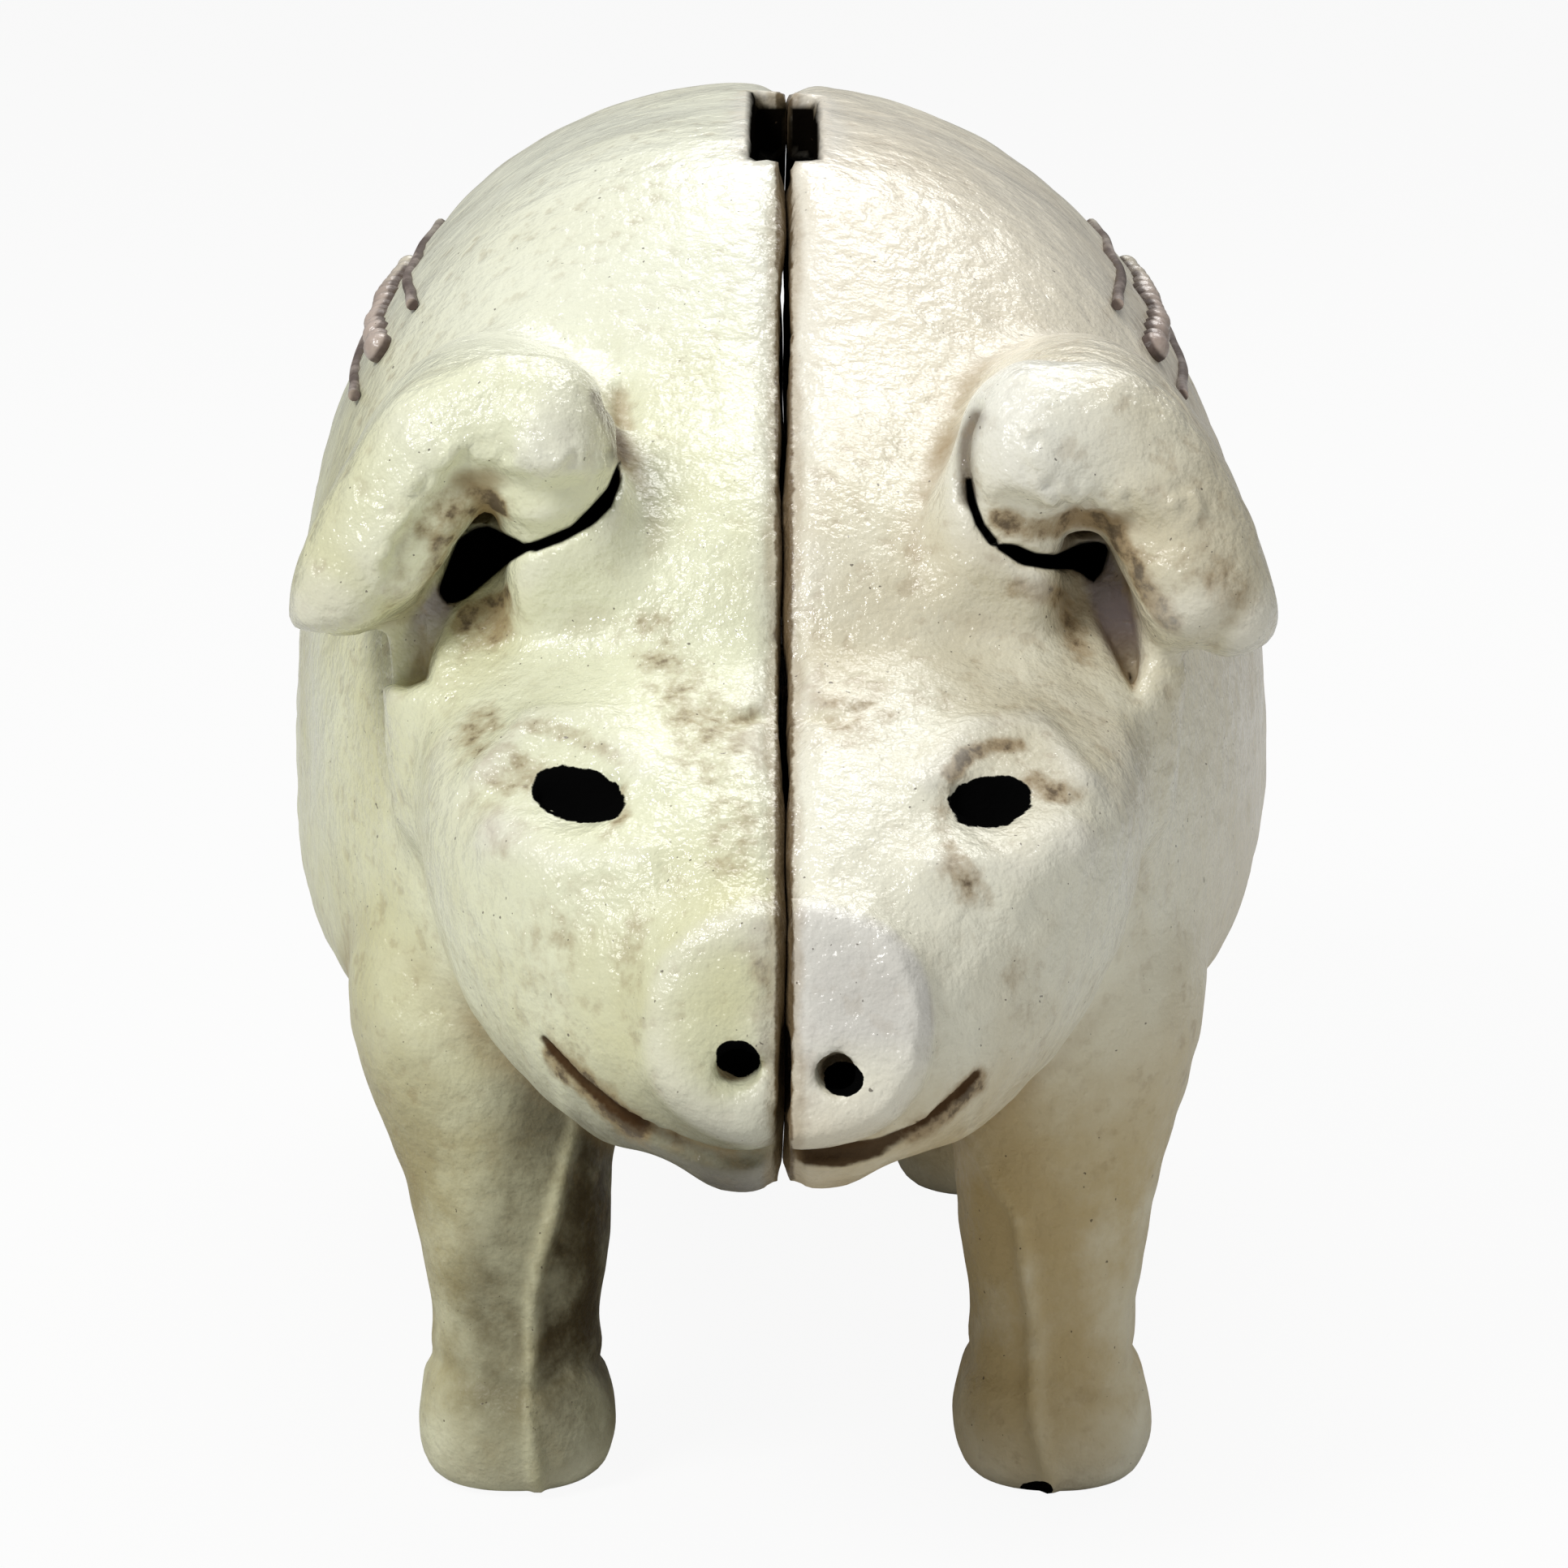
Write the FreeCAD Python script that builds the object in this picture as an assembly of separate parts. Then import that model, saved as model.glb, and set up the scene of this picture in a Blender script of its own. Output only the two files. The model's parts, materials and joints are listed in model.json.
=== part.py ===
"""Cast iron still bank in the form of a standing pig.

Two hollow half castings meet on the pig's middle plane and are clamped by one slotted screw.
The screw enters the pig's left flank, passes a clearance boss and threads into a blind boss
in the right half.  Legs, ears, eyes and tail are cast in one with their half.  Coins drop
through a slot in the back that is shared by both halves.

Millimetres.  +Z is up, the pig looks along -Y, +X is the pig's left side.  The origin is on
the floor under the middle of the pig.  Places along the pig are given as the distance
behind the tip of the snout.
"""
import FreeCAD, Part
import math
import os

Vec = FreeCAD.Vector

# ---------------------------------------------------------------- driving dimensions
LENGTH = 108.0            # snout to rump
BODY_WIDTH = 48.0         # barrel at its widest
BACK_HEIGHT = 60.4        # floor to top of back
BELLY_HEIGHT = 14.5       # floor to belly
WAIST_HEIGHT = 31.0       # height at which the barrel is widest
BODY_LEAN = 1.3           # how far the back's crest lies towards the pig's right
ROUNDNESS = 2.3           # fullness of rounded outlines, 2 is an ellipse
BACK_ROUNDNESS = 2.15     # the same for the barrel above its waist
BELLY_ROUNDNESS = 2.7     # and below it

HEAD_WIDTH = 32.6         # across the cheeks
HEAD_HEIGHT = 50.0        # floor to the poll, between the ears
CHIN_HEIGHT = 18.9        # floor to the underside of the jaw
SNOUT_WIDTH = 12.4
SNOUT_TOP = 33.2
SNOUT_BOTTOM = 22.6
SNOUT_REACH = 4.6         # length of the snout in front of the face
SNOUT_TILT = 8.0          # degrees that its disc looks upwards
SNOUT_EDGE = 0.8          # fillet round the disc

WALL = 3.0                # casting thickness
SEAM_GAP = 0.4            # daylight between the two rims
SLOT_WIDTH = 3.2
SLOT_LENGTH = 21.0        # passes a 19 mm coin
SLOT_BACK = 0.4213 * LENGTH     # from snout to the slot's front end

LEG_WIDTH = 9.0
LEG_LENGTH = 10.4
HOOF_HEIGHT = 4.4
ANKLE_RISE = 1.4          # height over which the hoof narrows to the ankle
FRONT_LEG_SPREAD = 25.0   # between the middles of the two front hooves
FRONT_LEG_BACK = 0.2519 * LENGTH    # from snout to the middle of the front hooves
HIND_LEG_SPREAD = 21.0
HIND_LEG_BACK_LEFT = 0.7269 * LENGTH    # the left hind foot stands a short step ahead
HIND_LEG_BACK_RIGHT = 0.8426 * LENGTH

EAR_FRONT_BACK = 0.1796 * LENGTH    # from snout to the ear's front rim
EAR_DEPTH = 0.1759 * LENGTH     # along the pig
EAR_THICKNESS = 4.8

EYE_SPREAD = 17.8
EYE_HEIGHT = 35.8
EYE_WIDTH = 3.9
EYE_TALL = 2.5
EYE_DEPTH = 0.8
EYE_CLEAR = 2.0           # how far the cutting tool stands out of the face
EYE_TURN = 28.0           # degrees that each eye looks outwards
EYE_LIFT = 30.0           # degrees that each eye looks upwards
NOSTRIL_SPREAD = 4.4
NOSTRIL_HEIGHT = 25.8
NOSTRIL_DIAMETER = 1.8
NOSTRIL_DEPTH = 2.4

TAIL_THICKNESS = 2.8
TAIL_CURL = 3.1           # radius of the curl's middle line
TAIL_HEIGHT = 43.5
TAIL_SIDE = 6.4           # from the seam to the middle of the curl, pig's right
TAIL_START = 60.0         # degrees, where the curl leaves the rump
TAIL_TURN = 285.0         # degrees of curl

SCREW_DIAMETER = 4.2
SCREW_HEAD_DIAMETER = 7.6
SCREW_HEAD_HEIGHT = 2.6
SCREW_HEAD_EDGE = 1.4     # height of the head's side below its dome
DRIVER_SLOT_WIDTH = 1.1
DRIVER_SLOT_DEPTH = 1.3
SCREW_TIP_CHAMFER = 0.6
SCREW_BACK = 0.537 * LENGTH     # from snout to the screw's axis
SCREW_HEIGHT = 27.0
SCREW_GRIP = 11.0         # thread held in the right half's boss
HEAD_RECESS = 1.2         # from the flank in to the crown
HOLE_CLEARANCE = 0.25     # radial, in the left boss
THREAD_CLEARANCE = 0.05   # radial, in the right boss
HEAD_CLEARANCE = 0.5      # radial, round the screw head
TIP_CLEARANCE = 1.0       # past the screw's tip
BOSS_WALL = 3.4

PIN_DIAMETER = 3.0        # locating pins cast on the right rim
PIN_LENGTH = 2.4
PIN_CLEARANCE = 0.2
PIN_PAD = 7.0             # diameter of the pad behind each pin and socket
PIN_PAD_HALF = 5.0        # half length of the two pads together
FRONT_PIN_BACK = 0.1167 * LENGTH
FRONT_PIN_HEIGHT = 28.0
REAR_PIN_BACK = 0.9352 * LENGTH
REAR_PIN_HEIGHT = 35.0

RING_POINTS = 16          # points on each section of barrel and head
LIMB_POINTS = 12          # points on each section of leg and snout
CORE_SIDES = 16           # flats round the hollow
EAR_STEPS = 8             # steps along the ear's line
TAIL_STEPS = 9            # steps along the tail
REACH = 200.0             # longer than the bank, for cutting tools
SEARCH_STEP = 0.1         # step of the search for the rump's skin
TOUCH = 0.01              # how near two places must be to count as one

CORE_START = 0.22         # share of LENGTH at which the barrel's hollow may start
CORE_END = 0.96           # and where it ends
CORE_MUZZLE = 0.09        # share of LENGTH at which the head's hollow may start
TAIL_LIFT = 0.2           # how far the tail's middle line stands off, as a share of its thickness
SLOT_ROOF = 4.0           # depth of the slot's cutting tool, in walls

# Barrel, chest to rump: share of LENGTH, then half width, rise of the back above the waist,
# drop of the belly below it and lift of the waist, each as a share of its own full size.
BODY_OUTLINE = [
    (0.170, 0.40, 0.36, 0.45, 0.00),
    (0.196, 0.62, 0.50, 0.72, 0.00),
    (0.240, 0.76, 0.60, 0.87, 0.00),
    (0.300, 0.88, 0.70, 0.94, 0.00),
    (0.370, 0.945, 0.875, 0.97, 0.00),
    (0.435, 0.980, 0.978, 0.99, 0.00),
    (0.520, 1.000, 1.000, 1.00, 0.00),
    (0.640, 1.000, 0.990, 1.00, 0.00),
    (0.760, 0.965, 0.945, 0.94, 0.00),
    (0.845, 0.885, 0.860, 0.80, 0.01),
    (0.910, 0.745, 0.705, 0.57, 0.04),
    (0.955, 0.560, 0.520, 0.33, 0.08),
    (0.982, 0.350, 0.330, 0.15, 0.11),
    (0.996, 0.150, 0.150, 0.02, 0.13),
]

# Head, muzzle to poll: share of LENGTH, half width, then the heights of the top, of the
# underside and of the widest place, each as a share of chin to poll.
HEAD_OUTLINE = [
    (0.026, 0.43, 0.43, 0.06, 0.26),
    (0.042, 0.56, 0.485, 0.02, 0.31),
    (0.065, 0.72, 0.540, 0.00, 0.38),
    (0.100, 0.88, 0.600, 0.00, 0.45),
    (0.145, 0.98, 0.665, 0.01, 0.50),
    (0.190, 1.00, 0.750, 0.04, 0.53),
    (0.235, 0.96, 0.840, 0.10, 0.56),
    (0.290, 0.83, 0.935, 0.20, 0.60),
    (0.340, 0.60, 1.000, 0.33, 0.63),
]

# Snout, disc to face: depth behind the disc's face, and share of the disc's width and height.
SNOUT_RINGS = [
    (0.0, 0.90),
    (SNOUT_EDGE, 1.00),
    (SNOUT_REACH, 0.97),
    (2.4 * SNOUT_REACH, 1.10),
]

# Leg, floor to shoulder: height in mm, then half width and half length as shares of half
# the leg's own, and the outward and backward lean of that section in mm.
FRONT_LEG_OUTLINE = [
    (0.0, 0.92, 0.94, 0.0, 0.0),
    (1.0, 1.00, 1.00, 0.0, 0.0),
    (HOOF_HEIGHT, 0.98, 0.98, 0.0, 0.0),
    (HOOF_HEIGHT + ANKLE_RISE, 0.90, 0.92, 0.0, 0.1),
    (10.0, 0.94, 0.96, 0.0, 0.3),
    (14.5, 1.06, 1.08, 0.2, 0.8),
    (18.5, 1.22, 1.28, 0.7, 1.6),
    (23.0, 1.32, 1.45, 1.2, 2.8),
    (28.0, 1.15, 1.40, 1.2, 4.2),
]
HIND_LEG_OUTLINE = [
    (0.0, 0.92, 0.94, 0.0, 0.0),
    (1.0, 1.00, 1.00, 0.0, 0.0),
    (HOOF_HEIGHT, 0.98, 0.98, 0.0, 0.0),
    (HOOF_HEIGHT + ANKLE_RISE, 0.90, 0.92, 0.0, 0.0),
    (9.5, 0.94, 0.98, 0.2, -0.2),
    (13.5, 1.10, 1.25, 0.6, -0.9),
    (17.5, 1.35, 1.60, 1.2, -1.8),
    (23.0, 1.45, 1.75, 1.6, -2.6),
    (28.0, 1.15, 1.55, 1.2, -2.8),
]

# Ear's middle line seen from the front, root to tip: distance from the seam, height, then
# share of the ear's thickness there.
EAR_LINE = [
    (9.3, 41.5, 1.25),
    (9.6, 45.5, 1.25),
    (11.0, 48.8, 1.15),
    (13.8, 50.5, 0.95),
    (16.6, 48.4, 0.97),
    (18.6, 45.0, 1.00),
    (20.1, 42.1, 0.90),
    (21.0, 40.2, 0.62),
]
# Ear, front rim to rear: share of its depth, share of its thickness, share of the line used.
EAR_RINGS = [
    (0.00, 0.50, 0.96),
    (0.06, 0.95, 1.00),
    (0.25, 1.00, 1.00),
    (0.45, 1.00, 0.92),
    (0.65, 0.98, 0.78),
    (0.85, 0.85, 0.62),
    (1.00, 0.45, 0.52),
]


class Section:
    """An egg-shaped outline across the pig at one place along its length."""

    def __init__(self, back, half, top, bottom, waist, lean=0.0, over=ROUNDNESS, under=ROUNDNESS):
        self.back = back
        self.half = half
        self.top = top
        self.bottom = bottom
        self.waist = waist
        self.lean = lean        # sideways shift of the top, towards the pig's right
        self.over = over        # fullness above the waist
        self.under = under      # fullness below the waist

    def point(self, turn, inset):
        """The outline's point at a turn in radians, counted from the top."""
        lift = math.cos(turn)
        upper = lift > 0
        power = self.over if upper else self.under
        tall = (self.top - self.waist) if upper else (self.waist - self.bottom)
        x = (self.half - inset) * signed_power(math.sin(turn), power)
        z = (tall - inset) * signed_power(lift, power)
        shift = self.lean * max(z, 0.0) / tall
        return Vec(x - shift, along(self.back), self.waist + z)

    def side_at(self, height):
        """Half width at a height."""
        upper = height > self.waist
        power = self.over if upper else self.under
        tall = (self.top - self.waist) if upper else (self.waist - self.bottom)
        share = min(abs(height - self.waist) / tall, 1.0)
        return self.half * (1.0 - share ** power) ** (1.0 / power)

    def wire(self):
        """Closed smooth outline of the skin."""
        return smooth_ring([self.point(turn, 0.0) for turn in turns(RING_POINTS)])

    def core_wire(self):
        """Closed many-sided outline of the hollow, one wall thickness inside the skin."""
        points = [self.point(turn, WALL) for turn in turns(CORE_SIDES)]
        return Part.makePolygon(points + points[:1])


def signed_power(value, power=ROUNDNESS):
    """A sine or cosine bent so that an ellipse becomes the rounder, fuller egg."""
    return math.copysign(abs(value) ** (2.0 / power), value)


def turns(count):
    """Evenly spaced turns round a section, in radians."""
    return [2.0 * math.pi * (n + 0.5) / count for n in range(count)]


def smooth_ring(points):
    """Closed smooth wire through points, evenly parametrised so that lofts stay light."""
    curve = Part.BSplineCurve()
    places = [n / len(points) for n in range(len(points) + 1)]
    curve.interpolate(Points=points, PeriodicFlag=True, Parameters=places)
    return Part.Wire([curve.toShape()])


def smooth_edge(points):
    """Open smooth curve through points, evenly parametrised."""
    curve = Part.BSplineCurve()
    last = len(points) - 1
    places = [n / last for n in range(len(points))]
    curve.interpolate(Points=points, Parameters=places)
    return curve.toShape()


def flap_ring(upper, lower):
    """Closed wire round a flap: out along its upper side, back along its lower side."""
    return Part.Wire([
        smooth_edge(upper),
        Part.makeLine(upper[-1], lower[0]),
        smooth_edge(lower),
        Part.makeLine(lower[-1], upper[0]),
    ])


def along(back):
    """Y of a place that lies `back` behind the snout."""
    return back - LENGTH / 2.0


def loft(wires):
    """Smooth solid through closed wires."""
    return Part.makeLoft(wires, True, False)


def mirrored(shape):
    """The same shape on the other side of the seam."""
    return shape.mirror(Vec(0, 0, 0), Vec(1, 0, 0))


def side_rod(radius, start, length, back, height):
    """Round rod across the pig, from x = start towards +X."""
    return Part.makeCylinder(radius, length, Vec(start, along(back), height), Vec(1, 0, 0))


def front_of(shape, x, height):
    """Y at which a line from the front first meets a shape."""
    line = Part.makeLine(Vec(x, -REACH, height), Vec(x, REACH, height))
    return shape.common(line).BoundBox.YMin


# ---------------------------------------------------------------- body and head
def body_sections():
    """The barrel's sections, chest to rump."""
    rise = BACK_HEIGHT - WAIST_HEIGHT
    drop = WAIST_HEIGHT - BELLY_HEIGHT
    sections = []
    for share, half, up, down, lift in BODY_OUTLINE:
        waist = WAIST_HEIGHT + lift * rise
        top = WAIST_HEIGHT + lift * rise + up * (rise - lift * rise)
        bottom = waist - down * drop
        half_width = half * BODY_WIDTH / 2.0
        lean = BODY_LEAN * up
        sections.append(Section(
            share * LENGTH, half_width, top, bottom, waist, lean, BACK_ROUNDNESS, BELLY_ROUNDNESS,
        ))
    return sections


def head_sections():
    """The head's sections, muzzle to poll."""
    tall = HEAD_HEIGHT - CHIN_HEIGHT
    sections = []
    for share, half, top, bottom, waist in HEAD_OUTLINE:
        sections.append(Section(
            share * LENGTH,
            half * HEAD_WIDTH / 2.0,
            CHIN_HEIGHT + top * tall,
            CHIN_HEIGHT + bottom * tall,
            CHIN_HEIGHT + waist * tall,
        ))
    return sections


def section_at(sections, back):
    """The section at any place along the length, by straight interpolation."""
    for near, far in zip(sections, sections[1:]):
        if near.back <= back <= far.back:
            share = (back - near.back) / (far.back - near.back)
            names = ("half", "top", "bottom", "waist", "lean")
            mix = [getattr(near, n) + share * (getattr(far, n) - getattr(near, n)) for n in names]
            return Section(back, *mix, near.over, near.under)
    return sections[-1]


def body_solid():
    """The barrel, closed at the rump by a point."""
    wires = [s.wire() for s in body_sections()]
    last = body_sections()[-1]
    tip = Part.Vertex(Vec(0, along(LENGTH), (last.top + last.bottom) / 2.0))
    return loft(wires + [tip])


def head_solid():
    """The head without ears or snout."""
    return loft([s.wire() for s in head_sections()])


def snout():
    """The snout: a short round-edged plug that looks a little upwards."""
    tall = SNOUT_TOP - SNOUT_BOTTOM
    middle = Vec(0, along(0), (SNOUT_TOP + SNOUT_BOTTOM) / 2.0)
    rings = []
    for depth, grow in SNOUT_RINGS:
        points = []
        for turn in turns(LIMB_POINTS):
            x = grow * SNOUT_WIDTH / 2.0 * signed_power(math.sin(turn))
            z = grow * tall / 2.0 * signed_power(math.cos(turn))
            points.append(Vec(x, depth, z))
        rings.append(smooth_ring(points))
    plug = loft(rings)
    plug.rotate(Vec(0, 0, 0), Vec(1, 0, 0), -SNOUT_TILT)
    plug.translate(middle - Vec(0, plug.BoundBox.YMin, 0))
    return plug


# ---------------------------------------------------------------- limbs
def leg(outline, spread, back):
    """One left leg from a table of sections, standing flat on the floor."""
    rings = []
    for height, wide, long, out, lean in outline:
        points = []
        for turn in turns(LIMB_POINTS):
            x = spread / 2.0 + out + wide * LEG_WIDTH / 2.0 * signed_power(math.sin(turn))
            y = along(back) + lean + long * LEG_LENGTH / 2.0 * signed_power(math.cos(turn))
            points.append(Vec(x, y, height))
        rings.append(smooth_ring(points))
    return loft(rings)


def ear_fullness(place):
    """Share of the ear's thickness at the nearest listed point of its line."""
    shares = []
    weights = []
    for x, z, share in EAR_LINE:
        near = 1.0 / (0.01 + (place.x - x) ** 2 + (place.z - z) ** 2)
        shares.append(share * near)
        weights.append(near)
    return sum(shares) / sum(weights)


def ear():
    """The left ear: a thick flap that arches up from the head and hangs outwards."""
    line = Part.BSplineCurve()
    line.interpolate(Points=[Vec(x, 0, z) for x, z, _ in EAR_LINE])
    span = line.LastParameter - line.FirstParameter
    rings = []
    for deep, thick, used in EAR_RINGS:
        y = Vec(0, along(EAR_FRONT_BACK + deep * EAR_DEPTH), 0)
        upper = []
        lower = []
        for n in range(EAR_STEPS + 1):
            share = n / EAR_STEPS
            place = line.FirstParameter + share * used * span
            way = line.tangent(place)[0]
            half = ear_fullness(line.value(place)) * thick * EAR_THICKNESS / 2.0
            rise = Vec(-way.z, 0, way.x) * half
            upper.append(line.value(place) + y + rise)
            lower.append(line.value(place) + y - rise)
        lower.reverse()
        rings.append(flap_ring(upper, lower))
    return loft(rings)


def rump_at(x, height):
    """Y of the rump's skin behind a place seen from the rear."""
    sections = body_sections()
    back = sections[-1].back
    while section_at(sections, back).side_at(height) < abs(x):
        back -= SEARCH_STEP
    return along(back)


def tail():
    """Curled tail lying against the right side of the rump."""
    points = []
    for step in range(TAIL_STEPS + 1):
        turn = math.radians(TAIL_START - TAIL_TURN * step / TAIL_STEPS)
        x = -TAIL_SIDE + TAIL_CURL * math.cos(turn)
        z = TAIL_HEIGHT + TAIL_CURL * math.sin(turn)
        points.append(Vec(x, rump_at(x, z) + TAIL_LIFT * TAIL_THICKNESS, z))
    curve = Part.BSplineCurve()
    curve.interpolate(Points=points)
    path = Part.Wire([curve.toShape()])
    way = curve.tangent(curve.FirstParameter)[0]
    rod = Part.makeCircle(TAIL_THICKNESS / 2.0, points[0], way)
    curl = path.makePipeShell([Part.Wire([rod])], True, True)
    ends = [Part.makeSphere(TAIL_THICKNESS / 2.0, p) for p in (points[0], points[-1])]
    return curl.fuse(ends)


# ---------------------------------------------------------------- face
def eye_sockets(head):
    """Two oval recesses under the brow, each square to the face there."""
    tools = []
    for side in (-1.0, 1.0):
        x = side * EYE_SPREAD / 2.0
        face = front_of(head, x, EYE_HEIGHT)
        rim = Part.Ellipse(Vec(0, 0, 0), EYE_WIDTH / 2.0, EYE_TALL / 2.0).toShape()
        oval = Part.Face(Part.Wire([rim]))
        socket = oval.extrude(Vec(0, 0, EYE_DEPTH + EYE_CLEAR))
        socket.translate(Vec(0, 0, -EYE_DEPTH))
        socket.rotate(Vec(0, 0, 0), Vec(1, 0, 0), 90.0 - EYE_LIFT)
        socket.rotate(Vec(0, 0, 0), Vec(0, 0, 1), side * EYE_TURN)
        socket.translate(Vec(x, face, EYE_HEIGHT))
        tools.append(socket)
    return tools


def nostrils():
    """Two round holes sunk into the snout's disc."""
    tools = []
    for side in (-1.0, 1.0):
        start = Vec(side * NOSTRIL_SPREAD / 2.0, along(-SNOUT_REACH), NOSTRIL_HEIGHT)
        length = SNOUT_REACH + NOSTRIL_DEPTH
        tools.append(Part.makeCylinder(NOSTRIL_DIAMETER / 2.0, length, start, Vec(0, 1, 0)))
    return tools


# ---------------------------------------------------------------- castings
def coin_slot():
    """Cutting tool for the slot in the back."""
    corner = Vec(-SLOT_WIDTH / 2.0, along(SLOT_BACK), BACK_HEIGHT - SLOT_ROOF * WALL)
    return Part.makeBox(SLOT_WIDTH, SLOT_LENGTH, REACH, corner)


def coin_chamber():
    """The hollow inside barrel and head."""
    body = [s for s in body_sections() if CORE_START < s.back / LENGTH < CORE_END]
    head = [s for s in head_sections() if s.back / LENGTH > CORE_MUZZLE]
    barrel = Part.makeLoft([s.core_wire() for s in body], True, True)
    skull = Part.makeLoft([s.core_wire() for s in head], True, True)
    return barrel.fuse(skull)


def whole_form():
    """The pig's outside as one solid, before it is hollowed and split."""
    body = body_solid()
    head = head_solid()
    left = [
        leg(FRONT_LEG_OUTLINE, FRONT_LEG_SPREAD, FRONT_LEG_BACK),
        leg(HIND_LEG_OUTLINE, HIND_LEG_SPREAD, HIND_LEG_BACK_LEFT),
        ear(),
    ]
    right = [
        mirrored(leg(FRONT_LEG_OUTLINE, FRONT_LEG_SPREAD, FRONT_LEG_BACK)),
        mirrored(leg(HIND_LEG_OUTLINE, HIND_LEG_SPREAD, HIND_LEG_BACK_RIGHT)),
        mirrored(ear()),
    ]
    form = body.fuse([head, snout(), tail()] + left + right)
    return form.cut(eye_sockets(head) + nostrils())


def pin_places():
    """Front and rear locating pins: back and height."""
    return ((FRONT_PIN_BACK, FRONT_PIN_HEIGHT), (REAR_PIN_BACK, REAR_PIN_HEIGHT))


def pin_pads(form):
    """Solid pads on the rims that carry the pins and their sockets."""
    pads = []
    for back, height in pin_places():
        pad = side_rod(PIN_PAD / 2.0, -PIN_PAD_HALF, 2.0 * PIN_PAD_HALF, back, height)
        pads.append(pad.common(form))
    return pads


def side_space(sign):
    """All space beyond the seam gap on one side."""
    corner = Vec(SEAM_GAP / 2.0 if sign > 0 else -REACH - SEAM_GAP / 2.0, -REACH, -REACH)
    return Part.makeBox(REACH, 2.0 * REACH, 2.0 * REACH, corner)


def boss(form, sign):
    """Round boss from the seam to the flank on one side."""
    radius = SCREW_DIAMETER / 2.0 + HOLE_CLEARANCE + BOSS_WALL
    start = 0.0 if sign > 0 else -BODY_WIDTH / 2.0
    return side_rod(radius, start, BODY_WIDTH / 2.0, SCREW_BACK, SCREW_HEIGHT).common(form)


def seat_place():
    """X of the face that the screw head bears on."""
    flank = section_at(body_sections(), SCREW_BACK).side_at(SCREW_HEIGHT)
    return flank - HEAD_RECESS - SCREW_HEAD_HEIGHT


def right_half(shell, form):
    """Half casting with the blind threaded boss and the locating pins."""
    half = shell.common(side_space(-1.0)).fuse(boss(form, -1.0))
    depth = SCREW_GRIP + TIP_CLEARANCE
    bore = side_rod(SCREW_DIAMETER / 2.0 + THREAD_CLEARANCE, -depth, depth, SCREW_BACK, SCREW_HEIGHT)
    half = half.cut(bore)
    for back, height in pin_places():
        pin = side_rod(PIN_DIAMETER / 2.0, -PIN_LENGTH, 2.0 * PIN_LENGTH, back, height)
        half = half.fuse(pin)
    return half


def left_half(shell, form):
    """Half casting with the through boss, the screw's recess and the pin sockets."""
    half = shell.common(side_space(1.0)).fuse(boss(form, 1.0))
    seat = seat_place()
    hole = side_rod(SCREW_DIAMETER / 2.0 + HOLE_CLEARANCE, 0.0, seat, SCREW_BACK, SCREW_HEIGHT)
    recess = SCREW_HEAD_DIAMETER / 2.0 + HEAD_CLEARANCE
    half = half.cut([hole, side_rod(recess, seat, REACH, SCREW_BACK, SCREW_HEIGHT)])
    for back, height in pin_places():
        depth = PIN_LENGTH + PIN_CLEARANCE
        half = half.cut(side_rod(PIN_DIAMETER / 2.0 + PIN_CLEARANCE, 0.0, depth, back, height))
    return half


def clamp_screw():
    """Round-head slotted screw lying across the pig, head on the left."""
    seat = seat_place()
    head = side_rod(SCREW_HEAD_DIAMETER / 2.0, seat, SCREW_HEAD_HEIGHT, SCREW_BACK, SCREW_HEIGHT)
    rise = SCREW_HEAD_HEIGHT - SCREW_HEAD_EDGE
    dome = (SCREW_HEAD_DIAMETER ** 2 / 4.0 + rise ** 2) / (2.0 * rise)
    middle = Vec(seat + SCREW_HEAD_HEIGHT - dome, along(SCREW_BACK), SCREW_HEIGHT)
    head = head.common(Part.makeSphere(dome, middle, Vec(1, 0, 0)))
    corner = Vec(
        seat + SCREW_HEAD_HEIGHT - DRIVER_SLOT_DEPTH,
        along(SCREW_BACK) - DRIVER_SLOT_WIDTH / 2.0,
        SCREW_HEIGHT - SCREW_HEAD_DIAMETER,
    )
    head = head.cut(Part.makeBox(REACH, DRIVER_SLOT_WIDTH, 2.0 * SCREW_HEAD_DIAMETER, corner))
    length = SCREW_GRIP + seat
    shank = side_rod(SCREW_DIAMETER / 2.0, -SCREW_GRIP, length, SCREW_BACK, SCREW_HEIGHT)
    tip = [e for e in shank.Edges if e.BoundBox.XMax < -SCREW_GRIP + TOUCH]
    return head.fuse(shank.makeChamfer(SCREW_TIP_CHAMFER, tip))


def build():
    """All nodes by name."""
    form = whole_form()
    shell = form.cut(coin_chamber()).fuse(pin_pads(form)).cut(coin_slot())
    return {
        "right_half": right_half(shell, form),
        "left_half": left_half(shell, form),
        "clamp_screw": clamp_screw(),
    }


if __name__ == "__main__":
    os.makedirs("parts", exist_ok=True)
    for name, shape in build().items():
        print(name, "valid", shape.isValid(), "solids", len(shape.Solids), "mm3", round(shape.Volume))
        shape.removeSplitter().exportStep("parts/" + name + ".step")
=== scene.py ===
"""Dresses the cast iron pig bank: two sculpted, painted half castings and their clamp screw.

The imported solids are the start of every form.  Each half casting is taken as a block of signed
distances, worked over like clay (brow, lips, ear rims, creases, parting ridges, uneven seam),
meshed again and painted with a procedural aged cream paint.  Lengths in the sculpting code are
millimetres, and finished pieces are in metres.
"""

import json
import logging
import math
from dataclasses import dataclass, field
from enum import Enum
from typing import Callable, Iterable, Sequence

import bmesh
import bpy
import numpy as np
import openvdb
from mathutils import Matrix, Vector
from mathutils.bvhtree import BVHTree

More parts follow.
